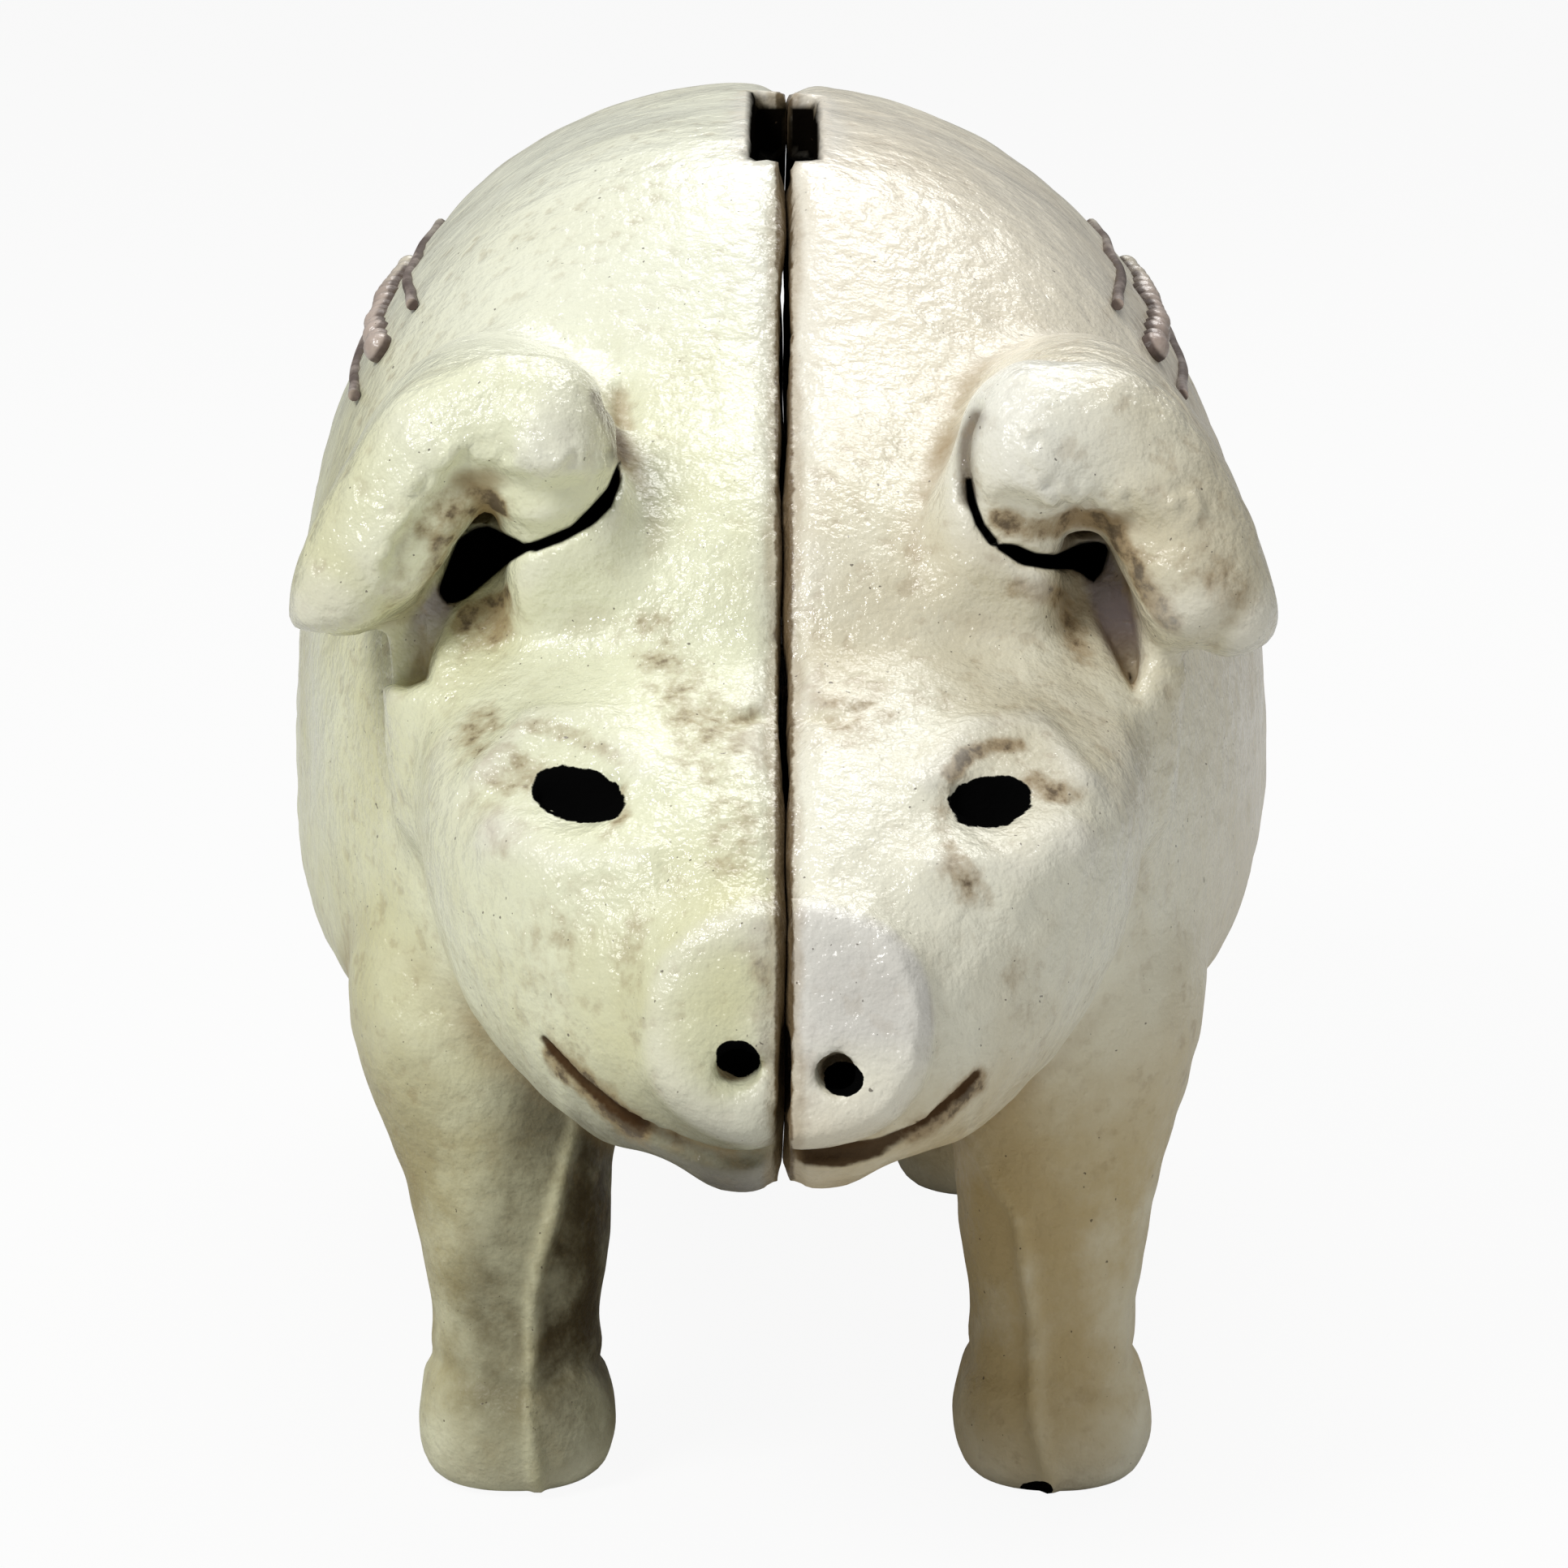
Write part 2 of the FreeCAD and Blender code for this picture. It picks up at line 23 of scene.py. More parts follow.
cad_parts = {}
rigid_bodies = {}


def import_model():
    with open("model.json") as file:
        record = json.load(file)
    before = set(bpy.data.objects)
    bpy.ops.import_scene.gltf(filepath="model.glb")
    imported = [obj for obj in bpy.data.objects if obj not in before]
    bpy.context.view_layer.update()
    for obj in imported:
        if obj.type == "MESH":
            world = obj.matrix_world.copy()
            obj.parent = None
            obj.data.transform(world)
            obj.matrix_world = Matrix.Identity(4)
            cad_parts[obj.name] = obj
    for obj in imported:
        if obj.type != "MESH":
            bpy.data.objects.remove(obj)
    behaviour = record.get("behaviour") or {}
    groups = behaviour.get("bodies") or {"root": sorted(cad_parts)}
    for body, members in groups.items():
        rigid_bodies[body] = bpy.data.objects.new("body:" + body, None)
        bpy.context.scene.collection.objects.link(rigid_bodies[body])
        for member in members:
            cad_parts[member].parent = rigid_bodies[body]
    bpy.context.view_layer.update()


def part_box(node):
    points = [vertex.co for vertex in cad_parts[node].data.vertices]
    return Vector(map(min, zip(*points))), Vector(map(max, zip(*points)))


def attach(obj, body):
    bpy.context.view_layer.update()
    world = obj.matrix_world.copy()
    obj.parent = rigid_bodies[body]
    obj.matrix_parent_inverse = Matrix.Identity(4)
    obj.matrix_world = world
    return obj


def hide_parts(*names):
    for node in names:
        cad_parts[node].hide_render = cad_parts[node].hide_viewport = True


LOG = logging.getLogger("pig_bank")
MM = 0.001
Point = tuple[float, float, float]
Colour = tuple[float, float, float]
Flat = tuple[float, float]
Array = np.ndarray
Socket = bpy.types.NodeSocket
Object = bpy.types.Object
Material = bpy.types.Material
FRONT: Point = (0.0, -336.1, 98.45)  # place of the camera, from which outlines are drawn
FINE_STEP = 0.30  # cell edge of the clay, in millimetres
INWARD = 1.4  # how far along the normal the hollow is tested
MAX_TRIANGLES = 186000  # of one casting
SLOT_HALF = 1.6  # half the coin slot's width
THREAD_RADIUS = 2.1
SHARP_ANGLE = 35.0
OVAL_POWER = 2.2
FAR_OUT = -9.0  # a distance that never counts

RUMP_CREAM: Colour = (0.79, 0.765, 0.60)
LOBE_HIGHLIGHT: Colour = (0.93, 0.93, 0.84)
WORN_AND_LIT_CREAM: Colour = (0.84, 0.82, 0.74)
STAIN_AND_SHADE_CORE: Colour = (0.075, 0.048, 0.022)
FOLD_SHADE_GREY: Colour = (0.20, 0.16, 0.175)
FOLD_SHADE_BROWN: Colour = (0.10, 0.060, 0.025)
MOUTH_SHADE_BROWN: Colour = (0.060, 0.030, 0.012)
SEAM_BROWN: Colour = (0.045, 0.030, 0.018)
SPECK_BROWN: Colour = (0.06, 0.04, 0.025)
SLOT_SHADOW_BLACK: Colour = (0.004, 0.003, 0.002)
BLACK_PAINT_AND_SHADOW: Colour = (0.002, 0.002, 0.002)


class Side(Enum):
    """The pig's own sides; the value is the sign of X."""

    RIGHT = -1
    LEFT = 1


# ---------------------------------------------------------------------------- clay
class Clay:
    """A block of signed distances in millimetres, negative inside the iron."""

    band = 6

    def __init__(self, obj: Object, step: float) -> None:
        """Fills the block from a closed mesh.

        Args:
            obj: the mesh object, in metres.
            step: edge of one cell in millimetres.
        """
        self.step = step
        count = len(obj.data.vertices)
        points = np.empty(count * 3, np.float32)
        obj.data.vertices.foreach_get("co", points)
        points = points.reshape(-1, 3) / MM
        obj.data.calc_loop_triangles()
        corners = np.empty(len(obj.data.loop_triangles) * 3, np.int32)
        obj.data.loop_triangles.foreach_get("vertices", corners)
        grid = openvdb.FloatGrid.createLevelSetFromPolygons(
            points.astype(np.float32),
            triangles=corners.reshape(-1, 3).astype(np.uint32),
            transform=openvdb.createLinearTransform(voxelSize=step),
            halfWidth=float(self.band),
        )
        margin = 8
        self.start = np.floor(points.min(0) / step).astype(int) - margin
        stop = np.ceil(points.max(0) / step).astype(int) + margin
        self.cells = np.empty(tuple(stop - self.start), np.float32)
        grid.copyToArray(self.cells, ijk=tuple(int(i) for i in self.start))

    def axes(self, window: tuple[slice, slice, slice] | None = None) -> list[Array]:
        """Coordinates of a window's cells, as three arrays that broadcast together."""
        window = window or (slice(None),) * 3
        shapes = ((-1, 1, 1), (1, -1, 1), (1, 1, -1))
        axes = []
        for n in range(3):
            places = (np.arange(self.cells.shape[n]) + self.start[n]) * self.step
            axes.append(places[window[n]].reshape(shapes[n]).astype(np.float32))
        return axes

    def window(self, low: Sequence[float], high: Sequence[float]) -> tuple[slice, slice, slice]:
        """Slices that cover a box.

        Args:
            low: lowest corner.
            high: highest corner.

        Returns:
            One slice for each axis.
        """
        first = np.floor(np.array(low) / self.step).astype(int) - self.start
        last = np.ceil(np.array(high) / self.step).astype(int) - self.start + 1
        first = np.clip(first, 0, self.cells.shape)
        last = np.clip(last, 0, self.cells.shape)
        return tuple(slice(int(a), int(b)) for a, b in zip(first, last))

    def blend(
        self,
        low: Sequence[float],
        high: Sequence[float],
        shape: Callable[..., Array],
        soft: float,
        add: bool,
    ) -> None:
        """Adds or carves a shape with a soft joint.

        Args:
            low: lowest corner of the cells to touch.
            high: highest corner of the cells to touch.
            shape: function of three coordinate arrays that gives distances.
            soft: width of the rounded joint.
            add: True to add iron, False to carve it.
        """
        window = self.window(low, high)
        part = self.cells[window]
        if part.size == 0:
            return
        sign = 1.0 if add else -1.0
        other = shape(*self.axes(window)).astype(np.float32)
        mine = sign * part
        near = np.maximum(soft - np.abs(mine - other), 0.0) / soft
        self.cells[window] = sign * (np.minimum(mine, other) - near * near * soft * 0.25)

    def egg(
        self,
        middle: Point,
        radii: Point,
        soft: float = 1.0,
        add: bool = True,
        turn: Point = (0.0, 0.0, 0.0),
    ) -> None:
        """Adds or carves an ellipsoid.

        Args:
            middle: its centre.
            radii: its three half axes.
            soft: width of the rounded joint.
            add: True to add, False to carve.
            turn: rotation in degrees about X, Y and Z.
        """
        spin = Matrix.Identity(3)
        for axis, angle in zip("XYZ", turn):
            spin = Matrix.Rotation(math.radians(angle), 3, axis) @ spin
        back = np.array(spin.transposed())
        size = np.array(radii, np.float32)

        def shape(x: Array, y: Array, z: Array) -> Array:
            """Distance to the ellipsoid, near enough for blending."""
            off = (x - middle[0], y - middle[1], z - middle[2])
            local = [sum(back[r][c] * off[c] for c in range(3)) for r in range(3)]
            near = np.sqrt(sum((local[n] / size[n]) ** 2 for n in range(3)))
            steep = np.sqrt(sum((local[n] / size[n] ** 2) ** 2 for n in range(3)))
            return near * (near - 1.0) / np.maximum(steep, 1e-6)

        reach = max(radii) + soft + 1.0
        low = [c - reach for c in middle]
        high = [c + reach for c in middle]
        self.blend(low, high, shape, soft, add)

    def cord(
        self, points: Sequence[Point], radii: Sequence[float], soft: float = 1.0, add: bool = True
    ) -> None:
        """Adds or carves a round cord along a line of points.

        Args:
            points: the line's points.
            radii: the cord's radius at each point.
            soft: width of the rounded joint.
            add: True to add, False to carve.
        """

        def shape(x: Array, y: Array, z: Array) -> Array:
            """Distance to the nearest of the cord's runs."""
            return cord_distance(x, y, z, points, radii)

        reach = max(radii) + soft + 1.0
        low = [min(p[n] for p in points) - reach for n in range(3)]
        high = [max(p[n] for p in points) + reach for n in range(3)]
        self.blend(low, high, shape, soft, add)

    def pocket(self, corners: Sequence[Flat], depth: float, far: float, soft: float = 0.3) -> None:
        """Carves a pocket whose mouth has a given outline when seen from the front.

        Args:
            corners: the outline as pairs of X and Z.
            depth: Y of the plane that the outline is drawn on.
            far: Y of the pocket's end.
            soft: width of the rounded joint.
        """

        def shape(x: Array, y: Array, z: Array) -> Array:
            """Distance to the pocket."""
            side = outline_distance(*sighted(x, y, z, depth), corners)
            return np.maximum(side, y - far)

        low = (min(c[0] for c in corners) - 2.0, depth - 12.0, min(c[1] for c in corners) - 3.0)
        high = (max(c[0] for c in corners) + 2.0, far + 1.5, max(c[1] for c in corners) + 3.0)
        self.blend(low, high, shape, soft, False)

    def softened(self, sigma: float) -> Array:
        """The block blurred.

        Args:
            sigma: width of the blur.

        Returns:
            A block of the same size.
        """
        reach = max(1, int(round(2.2 * sigma / self.step)))
        weights = np.exp(-0.5 * (np.arange(-reach, reach + 1) * self.step / sigma) ** 2)
        weights = (weights / weights.sum()).astype(np.float32)
        cells = self.cells
        for axis in range(3):
            pad = [(0, 0)] * 3
            pad[axis] = (reach, reach)
            wide = np.pad(cells, pad, mode="edge")
            cells = np.zeros_like(self.cells)
            for n, weight in enumerate(weights):
                cut = [slice(None)] * 3
                cut[axis] = slice(n, n + self.cells.shape[axis])
                cells += weight * wide[tuple(cut)]
        return cells

    def sample(self, cells: Array, points: Array) -> Array:
        """Values of a block at points, straight-line interpolated.

        Args:
            cells: a block of this clay's size.
            points: places in millimetres, one a row.

        Returns:
            One value for each point.
        """
        place = points / self.step - self.start
        base = np.clip(np.floor(place).astype(int), 0, np.array(cells.shape) - 2)
        part = np.clip(place - base, 0.0, 1.0)
        total = np.zeros(len(points), np.float32)
        for corner in range(8):
            bits = np.array([(corner >> n) & 1 for n in range(3)])
            weight = np.prod(np.where(bits, part, 1.0 - part), axis=1)
            i, j, k = (base + bits).T
            total += weight * cells[i, j, k]
        return total

    def front(self, x: float, z: float) -> float:
        """Y of the skin that a look from the front meets first."""
        row = self.cells[round(x / self.step) - self.start[0], :, round(z / self.step) - self.start[2]]
        first = int(np.argmax(row < 0.0))
        part = row[first - 1] / (row[first - 1] - row[first])
        return float((first - 1 + part + self.start[1]) * self.step)

    def on_skin(self, places: Sequence[Flat], out: float = 0.0) -> list[Point]:
        """Lays places seen from the front on the skin.

        Args:
            places: pairs of X and Z.
            out: how far in front of the skin to put them.

        Returns:
            One point for each place.
        """
        return [(x, self.front(x, z) - out, z) for x, z in places]

    def surface(self) -> tuple[Array, Array]:
        """Points in millimetres and four-sided faces of the clay's skin."""
        grid = openvdb.FloatGrid()
        grid.background = float(self.band * self.step)
        grid.transform = openvdb.createLinearTransform(voxelSize=self.step)
        cells = np.ascontiguousarray(self.cells)
        grid.copyFromArray(cells, ijk=tuple(int(i) for i in self.start))
        grid.gridClass = openvdb.GridClass.LEVEL_SET
        points, quads = grid.convertToQuads(isovalue=0.0)
        return points, quads[:, ::-1].astype(np.int32)


def cord_distance(
    x: Array, y: Array, z: Array, points: Sequence[Point], radii: Sequence[float]
) -> Array:
    """Distance from places to a cord of changing radius.

    Args:
        x: first coordinates.
        y: second coordinates.
        z: third coordinates.
        points: the cord's middle line.
        radii: its radius at each point.

    Returns:
        Distances, negative inside.
    """
    best = None
    for n in range(len(points) - 1):
        a = np.array(points[n], np.float32)
        run = np.array(points[n + 1], np.float32) - a
        share = ((x - a[0]) * run[0] + (y - a[1]) * run[1] + (z - a[2]) * run[2]) / run.dot(run)
        share = np.clip(share, 0.0, 1.0)
        off = np.sqrt(
            (x - a[0] - share * run[0]) ** 2
            + (y - a[1] - share * run[1]) ** 2
            + (z - a[2] - share * run[2]) ** 2
        )
        gap = off - (radii[n] + share * (radii[n + 1] - radii[n]))
        best = gap if best is None else np.minimum(best, gap)
    return best


def sighted(x: object, y: object, z: object, depth: float) -> tuple[object, object]:
    """Carries places along looks from the front point onto one upright plane.

    Args:
        x: first coordinates.
        y: second coordinates.
        z: third coordinates.
        depth: Y of the plane.

    Returns:
        X and Z on the plane.
    """
    share = (depth - FRONT[1]) / (y - FRONT[1])
    return x * share, FRONT[2] + (z - FRONT[2]) * share


def outline_distance(x: Array, z: Array, corners: Sequence[Flat]) -> Array:
    """Distance from flat places to an outline.

    Args:
        x: first coordinates.
        z: second coordinates.
        corners: the outline's corners in order.

    Returns:
        Distances, negative inside.
    """
    best = None
    inside = False
    for n, (bx, bz) in enumerate(corners):
        ax, az = corners[n - 1]
        run = (bx - ax, bz - az)
        share = ((x - ax) * run[0] + (z - az) * run[1]) / (run[0] ** 2 + run[1] ** 2)
        share = np.clip(share, 0.0, 1.0)
        off = (x - ax - share * run[0]) ** 2 + (z - az - share * run[1]) ** 2
        best = off if best is None else np.minimum(best, off)
        climb = run[1] if run[1] else 1e-9
        inside = inside ^ (((az > z) != (bz > z)) & (x < ax + (z - az) / climb * run[0]))
    return np.where(inside, -1.0, 1.0) * np.sqrt(best)


def ripple(points: Array, wave: float, seed: int) -> Array:
    """Smooth repeatable unevenness between about -1 and 1.

    Args:
        points: places in millimetres, one a row.
        wave: rough length of one wave.
        seed: picks the pattern.

    Returns:
        One value for each point.
    """
    dice = np.random.default_rng(seed)
    total = np.zeros(len(points))
    for _ in range(7):
        way = dice.normal(size=3)
        way *= 2.0 * math.pi / (wave * dice.uniform(0.7, 1.5) * np.linalg.norm(way))
        total += np.sin(points @ way + dice.uniform(0.0, 6.28))
    return total / 2.6


# ---------------------------------------------------------------------------- nodes
class Shading:
    """Builds one material's node tree."""

    def __init__(self, name: str) -> None:
        """Starts a material with a lone principled shader."""
        self.material = bpy.data.materials.new(name)
        self.material.use_nodes = True
        self.nodes = self.material.node_tree.nodes
        self.links = self.material.node_tree.links
        self.shader = self.nodes["Principled BSDF"]
        place = self.nodes.new("ShaderNodeTexCoord")
        scale = self.nodes.new("ShaderNodeMapping")
        scale.inputs["Scale"].default_value = (1.0 / MM,) * 3
        self.links.new(place.outputs["Object"], scale.inputs["Vector"])
        self.place = scale.outputs["Vector"]

    def set(self, target: Socket, value: object) -> None:
        """Links a socket, or writes a number or colour on it."""
        if isinstance(value, Socket):
            self.links.new(value, target)
        elif isinstance(value, tuple) and len(value) == 3 and target.type == "RGBA":
            target.default_value = (*value, 1.0)
        else:
            target.default_value = value

    def math(self, kind: str, *values: object) -> Socket:
        """A Math node's output."""
        node = self.nodes.new("ShaderNodeMath")
        node.operation = kind
        for n, value in enumerate(values):
            self.set(node.inputs[n], value)
        return node.outputs[0]

    def times(self, first: object, second: object) -> Socket:
        """Product of two values."""
        return self.math("MULTIPLY", first, second)

    def plus(self, first: object, second: object) -> Socket:
        """Sum of two values."""
        return self.math("ADD", first, second)

    def less(self, first: object, second: object) -> Socket:
        """First value less the second."""
        return self.math("SUBTRACT", first, second)

    def most(self, first: object, second: object) -> Socket:
        """The larger of two values."""
        return self.math("MAXIMUM", first, second)

    def put(self, **values: object) -> None:
        """Sets inputs of the shader, named with _ for each space."""
        for label, value in values.items():
            self.set(self.shader.inputs[label.replace("_", " ")], value)

    def noise(
        self, wave: float, detail: float = 3.0, rough: float = 0.55, shift: float = 0.0
    ) -> Socket:
        """Noise between 0 and 1 with waves of so many millimetres."""
        node = self.nodes.new("ShaderNodeTexNoise")
        moved = self.nodes.new("ShaderNodeMapping")
        moved.inputs["Location"].default_value = (shift, 0.7 * shift, -0.4 * shift)
        self.links.new(self.place, moved.inputs["Vector"])
        self.links.new(moved.outputs["Vector"], node.inputs["Vector"])
        node.inputs["Scale"].default_value = 1.0 / wave
        node.inputs["Detail"].default_value = detail
        node.inputs["Roughness"].default_value = rough
        return node.outputs["Fac"]

    def between(
        self, value: object, low: float, high: float, start: float = 0.0, end: float = 1.0
    ) -> Socket:
        """Smooth step of a value from low to high."""
        node = self.nodes.new("ShaderNodeMapRange")
        node.interpolation_type = "SMOOTHSTEP"
        for name, number in zip(("From Min", "From Max", "To Min", "To Max"), (low, high, start, end)):
            node.inputs[name].default_value = number
        self.set(node.inputs["Value"], value)
        return node.outputs["Result"]

    def mix(self, share: object, first: object, second: object) -> Socket:
        """Colour mix from first to second."""
        node = self.nodes.new("ShaderNodeMix")
        node.data_type = "RGBA"
        self.set(node.inputs["Factor"], share)
        self.set(node.inputs[6], first)
        self.set(node.inputs[7], second)
        return node.outputs[2]

    def attribute(self, name: str) -> Socket:
        """A number kept on the mesh's points."""
        node = self.nodes.new("ShaderNodeAttribute")
        node.attribute_name = name
        return node.outputs["Fac"]

    def parts(self) -> list[Socket]:
        """X, Y and Z in millimetres."""
        node = self.nodes.new("ShaderNodeSeparateXYZ")
        self.links.new(self.place, node.inputs[0])
        return [node.outputs[n] for n in range(3)]

    def bump(self, height: object, depth: float, below: object = None) -> Socket:
        """A bump of so many millimetres, laid on another if one is given."""
        node = self.nodes.new("ShaderNodeBump")
        node.inputs["Distance"].default_value = depth * MM
        self.set(node.inputs["Height"], height)
        if below is not None:
            self.links.new(below, node.inputs["Normal"])
        return node.outputs["Normal"]


@dataclass(frozen=True)
class OvalSpot:
    """A small painted oval that looks round-ended from the front."""

    middle: Flat
    radii: Flat
    turn: float
    front: Flat
    depth: float

    def share(self, sheet: Shading, ragged: Socket) -> Socket:
        """1 inside the oval and 0 outside, with a ragged brushed edge.

        Args:
            sheet: the material to build in.
            ragged: noise that moves the edge.

        Returns:
            The mask.
        """
        x, y, z = sheet.parts()
        share = sheet.math("DIVIDE", self.depth - FRONT[1], sheet.less(y, FRONT[1]))
        across = sheet.less(sheet.times(x, share), self.middle[0])
        up = sheet.times(sheet.less(z, FRONT[2]), share)
        up = sheet.less(up, self.middle[1] - FRONT[2])
        cosine = math.cos(math.radians(self.turn))
        sine = math.sin(math.radians(self.turn))
        along = sheet.plus(sheet.times(across, cosine), sheet.times(up, sine))
        over = sheet.less(sheet.times(up, cosine), sheet.times(across, sine))
        powers = []
        for off, radius in zip((along, over), self.radii):
            part = sheet.math("ABSOLUTE", sheet.math("DIVIDE", off, radius))
            powers.append(sheet.math("POWER", part, OVAL_POWER))
        size = sheet.plus(sheet.plus(*powers), ragged)
        inside = sheet.between(size, 1.0, 1.12, 1.0, 0.0)
        near = sheet.math("LESS_THAN", y, self.front[1])
        far = sheet.math("GREATER_THAN", y, self.front[0])
        return sheet.times(inside, sheet.times(near, far))


@dataclass(frozen=True)
class Ground:
    """What the steps of one paint share: X, Y and Z in millimetres, and broad, middle and fine noise."""

    sheet: Shading
    place: tuple[Socket, Socket, Socket]
    noises: tuple[Socket, Socket, Socket]


@dataclass(frozen=True)
class AgedPaint:
    """Old cream paint over rough iron, antiqued brown in the hollows, with painted shade and highlights."""

    name: str
    cream: Colour
    shade: Colour
    leg: Colour
    # painted shade on the inner side of each leg, up to its parting ridge
    inner: Colour
    # brown of dirt and antiquing, also used for painted shade
    soil_and_shade: Colour
    disc: Colour
    # painted light on the body behind the head: lighter on the lit right half's back, darker on the shaded
    # left half's flank
    back: Colour
    back_rise: Flat
    spots: tuple[OvalSpot, ...]
    shift: float

    def make(self) -> Material:
        """Builds the material."""
        sheet = Shading(self.name)
        x, y, z = sheet.parts()
        broad = sheet.noise(16.0, 4.0, 0.6, self.shift)
        middle = sheet.noise(4.5, 5.0, 0.65, self.shift + 11.0)
        fine = sheet.noise(0.9, 4.0, 0.6, self.shift + 23.0)
        ground = Ground(sheet, (x, y, z), (broad, middle, fine))
        colour = self.coats(ground)
        colour, hollow, stain = self.soiled_shaded_and_lit(ground, colour)
        colour, mouth = self.lined(ground, colour)
        colour, black_and_shadow = self.blackened(ground, colour)
        sheet.put(Base_Color=colour)
        self.gloss(ground, (hollow, stain), mouth, black_and_shadow)
        self.cast_skin(ground)
        return sheet.material

    def coats(self, ground: Ground) -> Socket:
        """Cream paint with its tones on rump and legs, painted light on the back, and painted shade on the
        legs' inner sides.
        """
        sheet = ground.sheet
        _, y, z = ground.place
        broad, middle, _ = ground.noises
        colour = sheet.mix(sheet.between(broad, 0.38, 0.68), self.cream, self.shade)
        colour = sheet.mix(sheet.between(middle, 0.50, 0.80, 0.0, 0.35), colour, self.shade)
        # painted light: the body behind the head takes the half's back colour, lighter on the lit back,
        # darker on the shaded flank
        behind = sheet.times(sheet.between(y, -34.0, -14.0), 0.65)
        behind = sheet.times(behind, sheet.between(z, *self.back_rise))
        colour = sheet.mix(behind, colour, self.back)
        colour = sheet.mix(sheet.between(y, 4.0, 34.0, 0.0, 0.85), colour, RUMP_CREAM)
        # legs
        low = sheet.between(z, 13.0, 28.0, 1.0, 0.0)
        low = sheet.times(low, sheet.between(z, 2.0, 6.5, 0.62, 1.0))
        blotch = sheet.plus(middle, sheet.times(broad, 0.6))
        blotch = sheet.between(blotch, 0.55, 1.0, 0.45, 1.0)
        colour = sheet.mix(sheet.times(low, blotch), colour, self.leg)
        # painted shade on the inner side of each leg
        inner = sheet.times(sheet.attribute("inner"), sheet.between(middle, 0.25, 0.6, 0.55, 1.0))
        colour = sheet.mix(inner, colour, self.inner)
        return colour

    def soiled_shaded_and_lit(self, ground: Ground, colour: Socket) -> tuple[Socket, Socket, Socket]:
        """Brown in hollows, stains and pits, painted shade in folds and under ears and brows, and a painted
        highlight on the ear's lobe.

        Args:
            ground: what the paint's steps share.
            colour: the paint so far.

        Returns:
            The new colour, and the masks of hollows and of stains with painted shade.
        """
        sheet = ground.sheet
        broad, middle, fine = ground.noises
        hollow = sheet.between(sheet.attribute("recess"), 0.04, 0.42)
        hollow = sheet.times(hollow, sheet.between(middle, 0.25, 0.62, 0.35, 1.0))
        colour = sheet.mix(hollow, colour, self.soil_and_shade)
        # painted highlight on the ear's lobe
        colour = sheet.mix(sheet.attribute("pale"), colour, LOBE_HIGHLIGHT)
        patch = sheet.times(sheet.less(middle, 0.5), 1.2)
        speckle = sheet.times(sheet.less(fine, 0.5), 1.3)
        # brushed stains, and painted shade under the ears and over the eyes
        stain = sheet.plus(sheet.plus(sheet.attribute("stain"), patch), speckle)
        dark = sheet.between(sheet.plus(stain, speckle), 0.72, 1.25, 0.0, 0.85)
        stain = sheet.between(stain, 0.14, 0.95, 0.0, 0.85)
        stain = sheet.times(stain, sheet.between(sheet.attribute("stain"), 0.03, 0.16))
        dark = sheet.times(dark, sheet.between(sheet.attribute("stain"), 0.3, 0.6))
        colour = sheet.mix(stain, colour, self.soil_and_shade)
        colour = sheet.mix(dark, colour, STAIN_AND_SHADE_CORE)
        # painted shade in the crease behind the ear's flap and the groove round its lobe; also the snout's
        # disc colour
        folds = (("crease", FOLD_SHADE_GREY), ("groove", FOLD_SHADE_BROWN), ("disc", self.disc))
        for label, tint in folds:
            colour = sheet.mix(sheet.attribute(label), colour, tint)
        pit = sheet.between(sheet.noise(1.0, 3.0, 0.55, self.shift + 31.0), 0.30, 0.46, 0.45, 0.0)
        pit = sheet.times(pit, sheet.between(broad, 0.35, 0.65, 0.15, 0.8))
        colour = sheet.mix(pit, colour, self.soil_and_shade)
        return colour, hollow, stain

    def lined(self, ground: Ground, colour: Socket) -> tuple[Socket, Socket]:
        """Lighter ridges as worn paint and painted highlight, brown stain and painted shade in the mouth,
        seam, slot walls painted black as shade, and specks.

        Args:
            ground: what the paint's steps share.
            colour: the paint so far.

        Returns:
            The new colour, and the mouth's mask.
        """
        sheet = ground.sheet
        x, _, z = ground.place
        _, middle, fine = ground.noises
        # ridges lighter, more so higher up: worn paint and painted highlight
        ridge = sheet.between(sheet.attribute("ridge"), 0.30, 0.75, 0.0, 0.5)
        ridge = sheet.times(ridge, sheet.between(z, 16.0, 28.0, 0.3, 1.0))
        colour = sheet.mix(ridge, colour, WORN_AND_LIT_CREAM)
        # brown stain and painted shade in the mouth's groove
        mouth = sheet.plus(sheet.attribute("mouth"), sheet.times(fine, 0.5))
        mouth = sheet.between(mouth, 0.50, 1.0, 0.0, 0.94)
        colour = sheet.mix(mouth, colour, MOUTH_SHADE_BROWN)
        # seam
        apart = sheet.math("ABSOLUTE", x)
        seam = sheet.plus(apart, sheet.times(fine, -0.55))
        seam = sheet.between(seam, 0.04, 0.20, 1.0, 0.0)
        colour = sheet.mix(seam, colour, SEAM_BROWN)
        rust = sheet.plus(apart, sheet.times(middle, -1.5))
        rust = sheet.between(rust, -0.25, 0.25, 0.45, 0.0)
        colour = sheet.mix(rust, colour, self.soil_and_shade)
        # the coin slot's walls painted black as shade
        colour = sheet.mix(sheet.attribute("slot"), colour, SLOT_SHADOW_BLACK)
        # specks
        speck = sheet.between(sheet.noise(0.30, 1.0, 0.5, self.shift + 5.0), 0.760, 0.79)
        colour = sheet.mix(sheet.times(speck, 0.75), colour, SPECK_BROWN)
        return colour, mouth

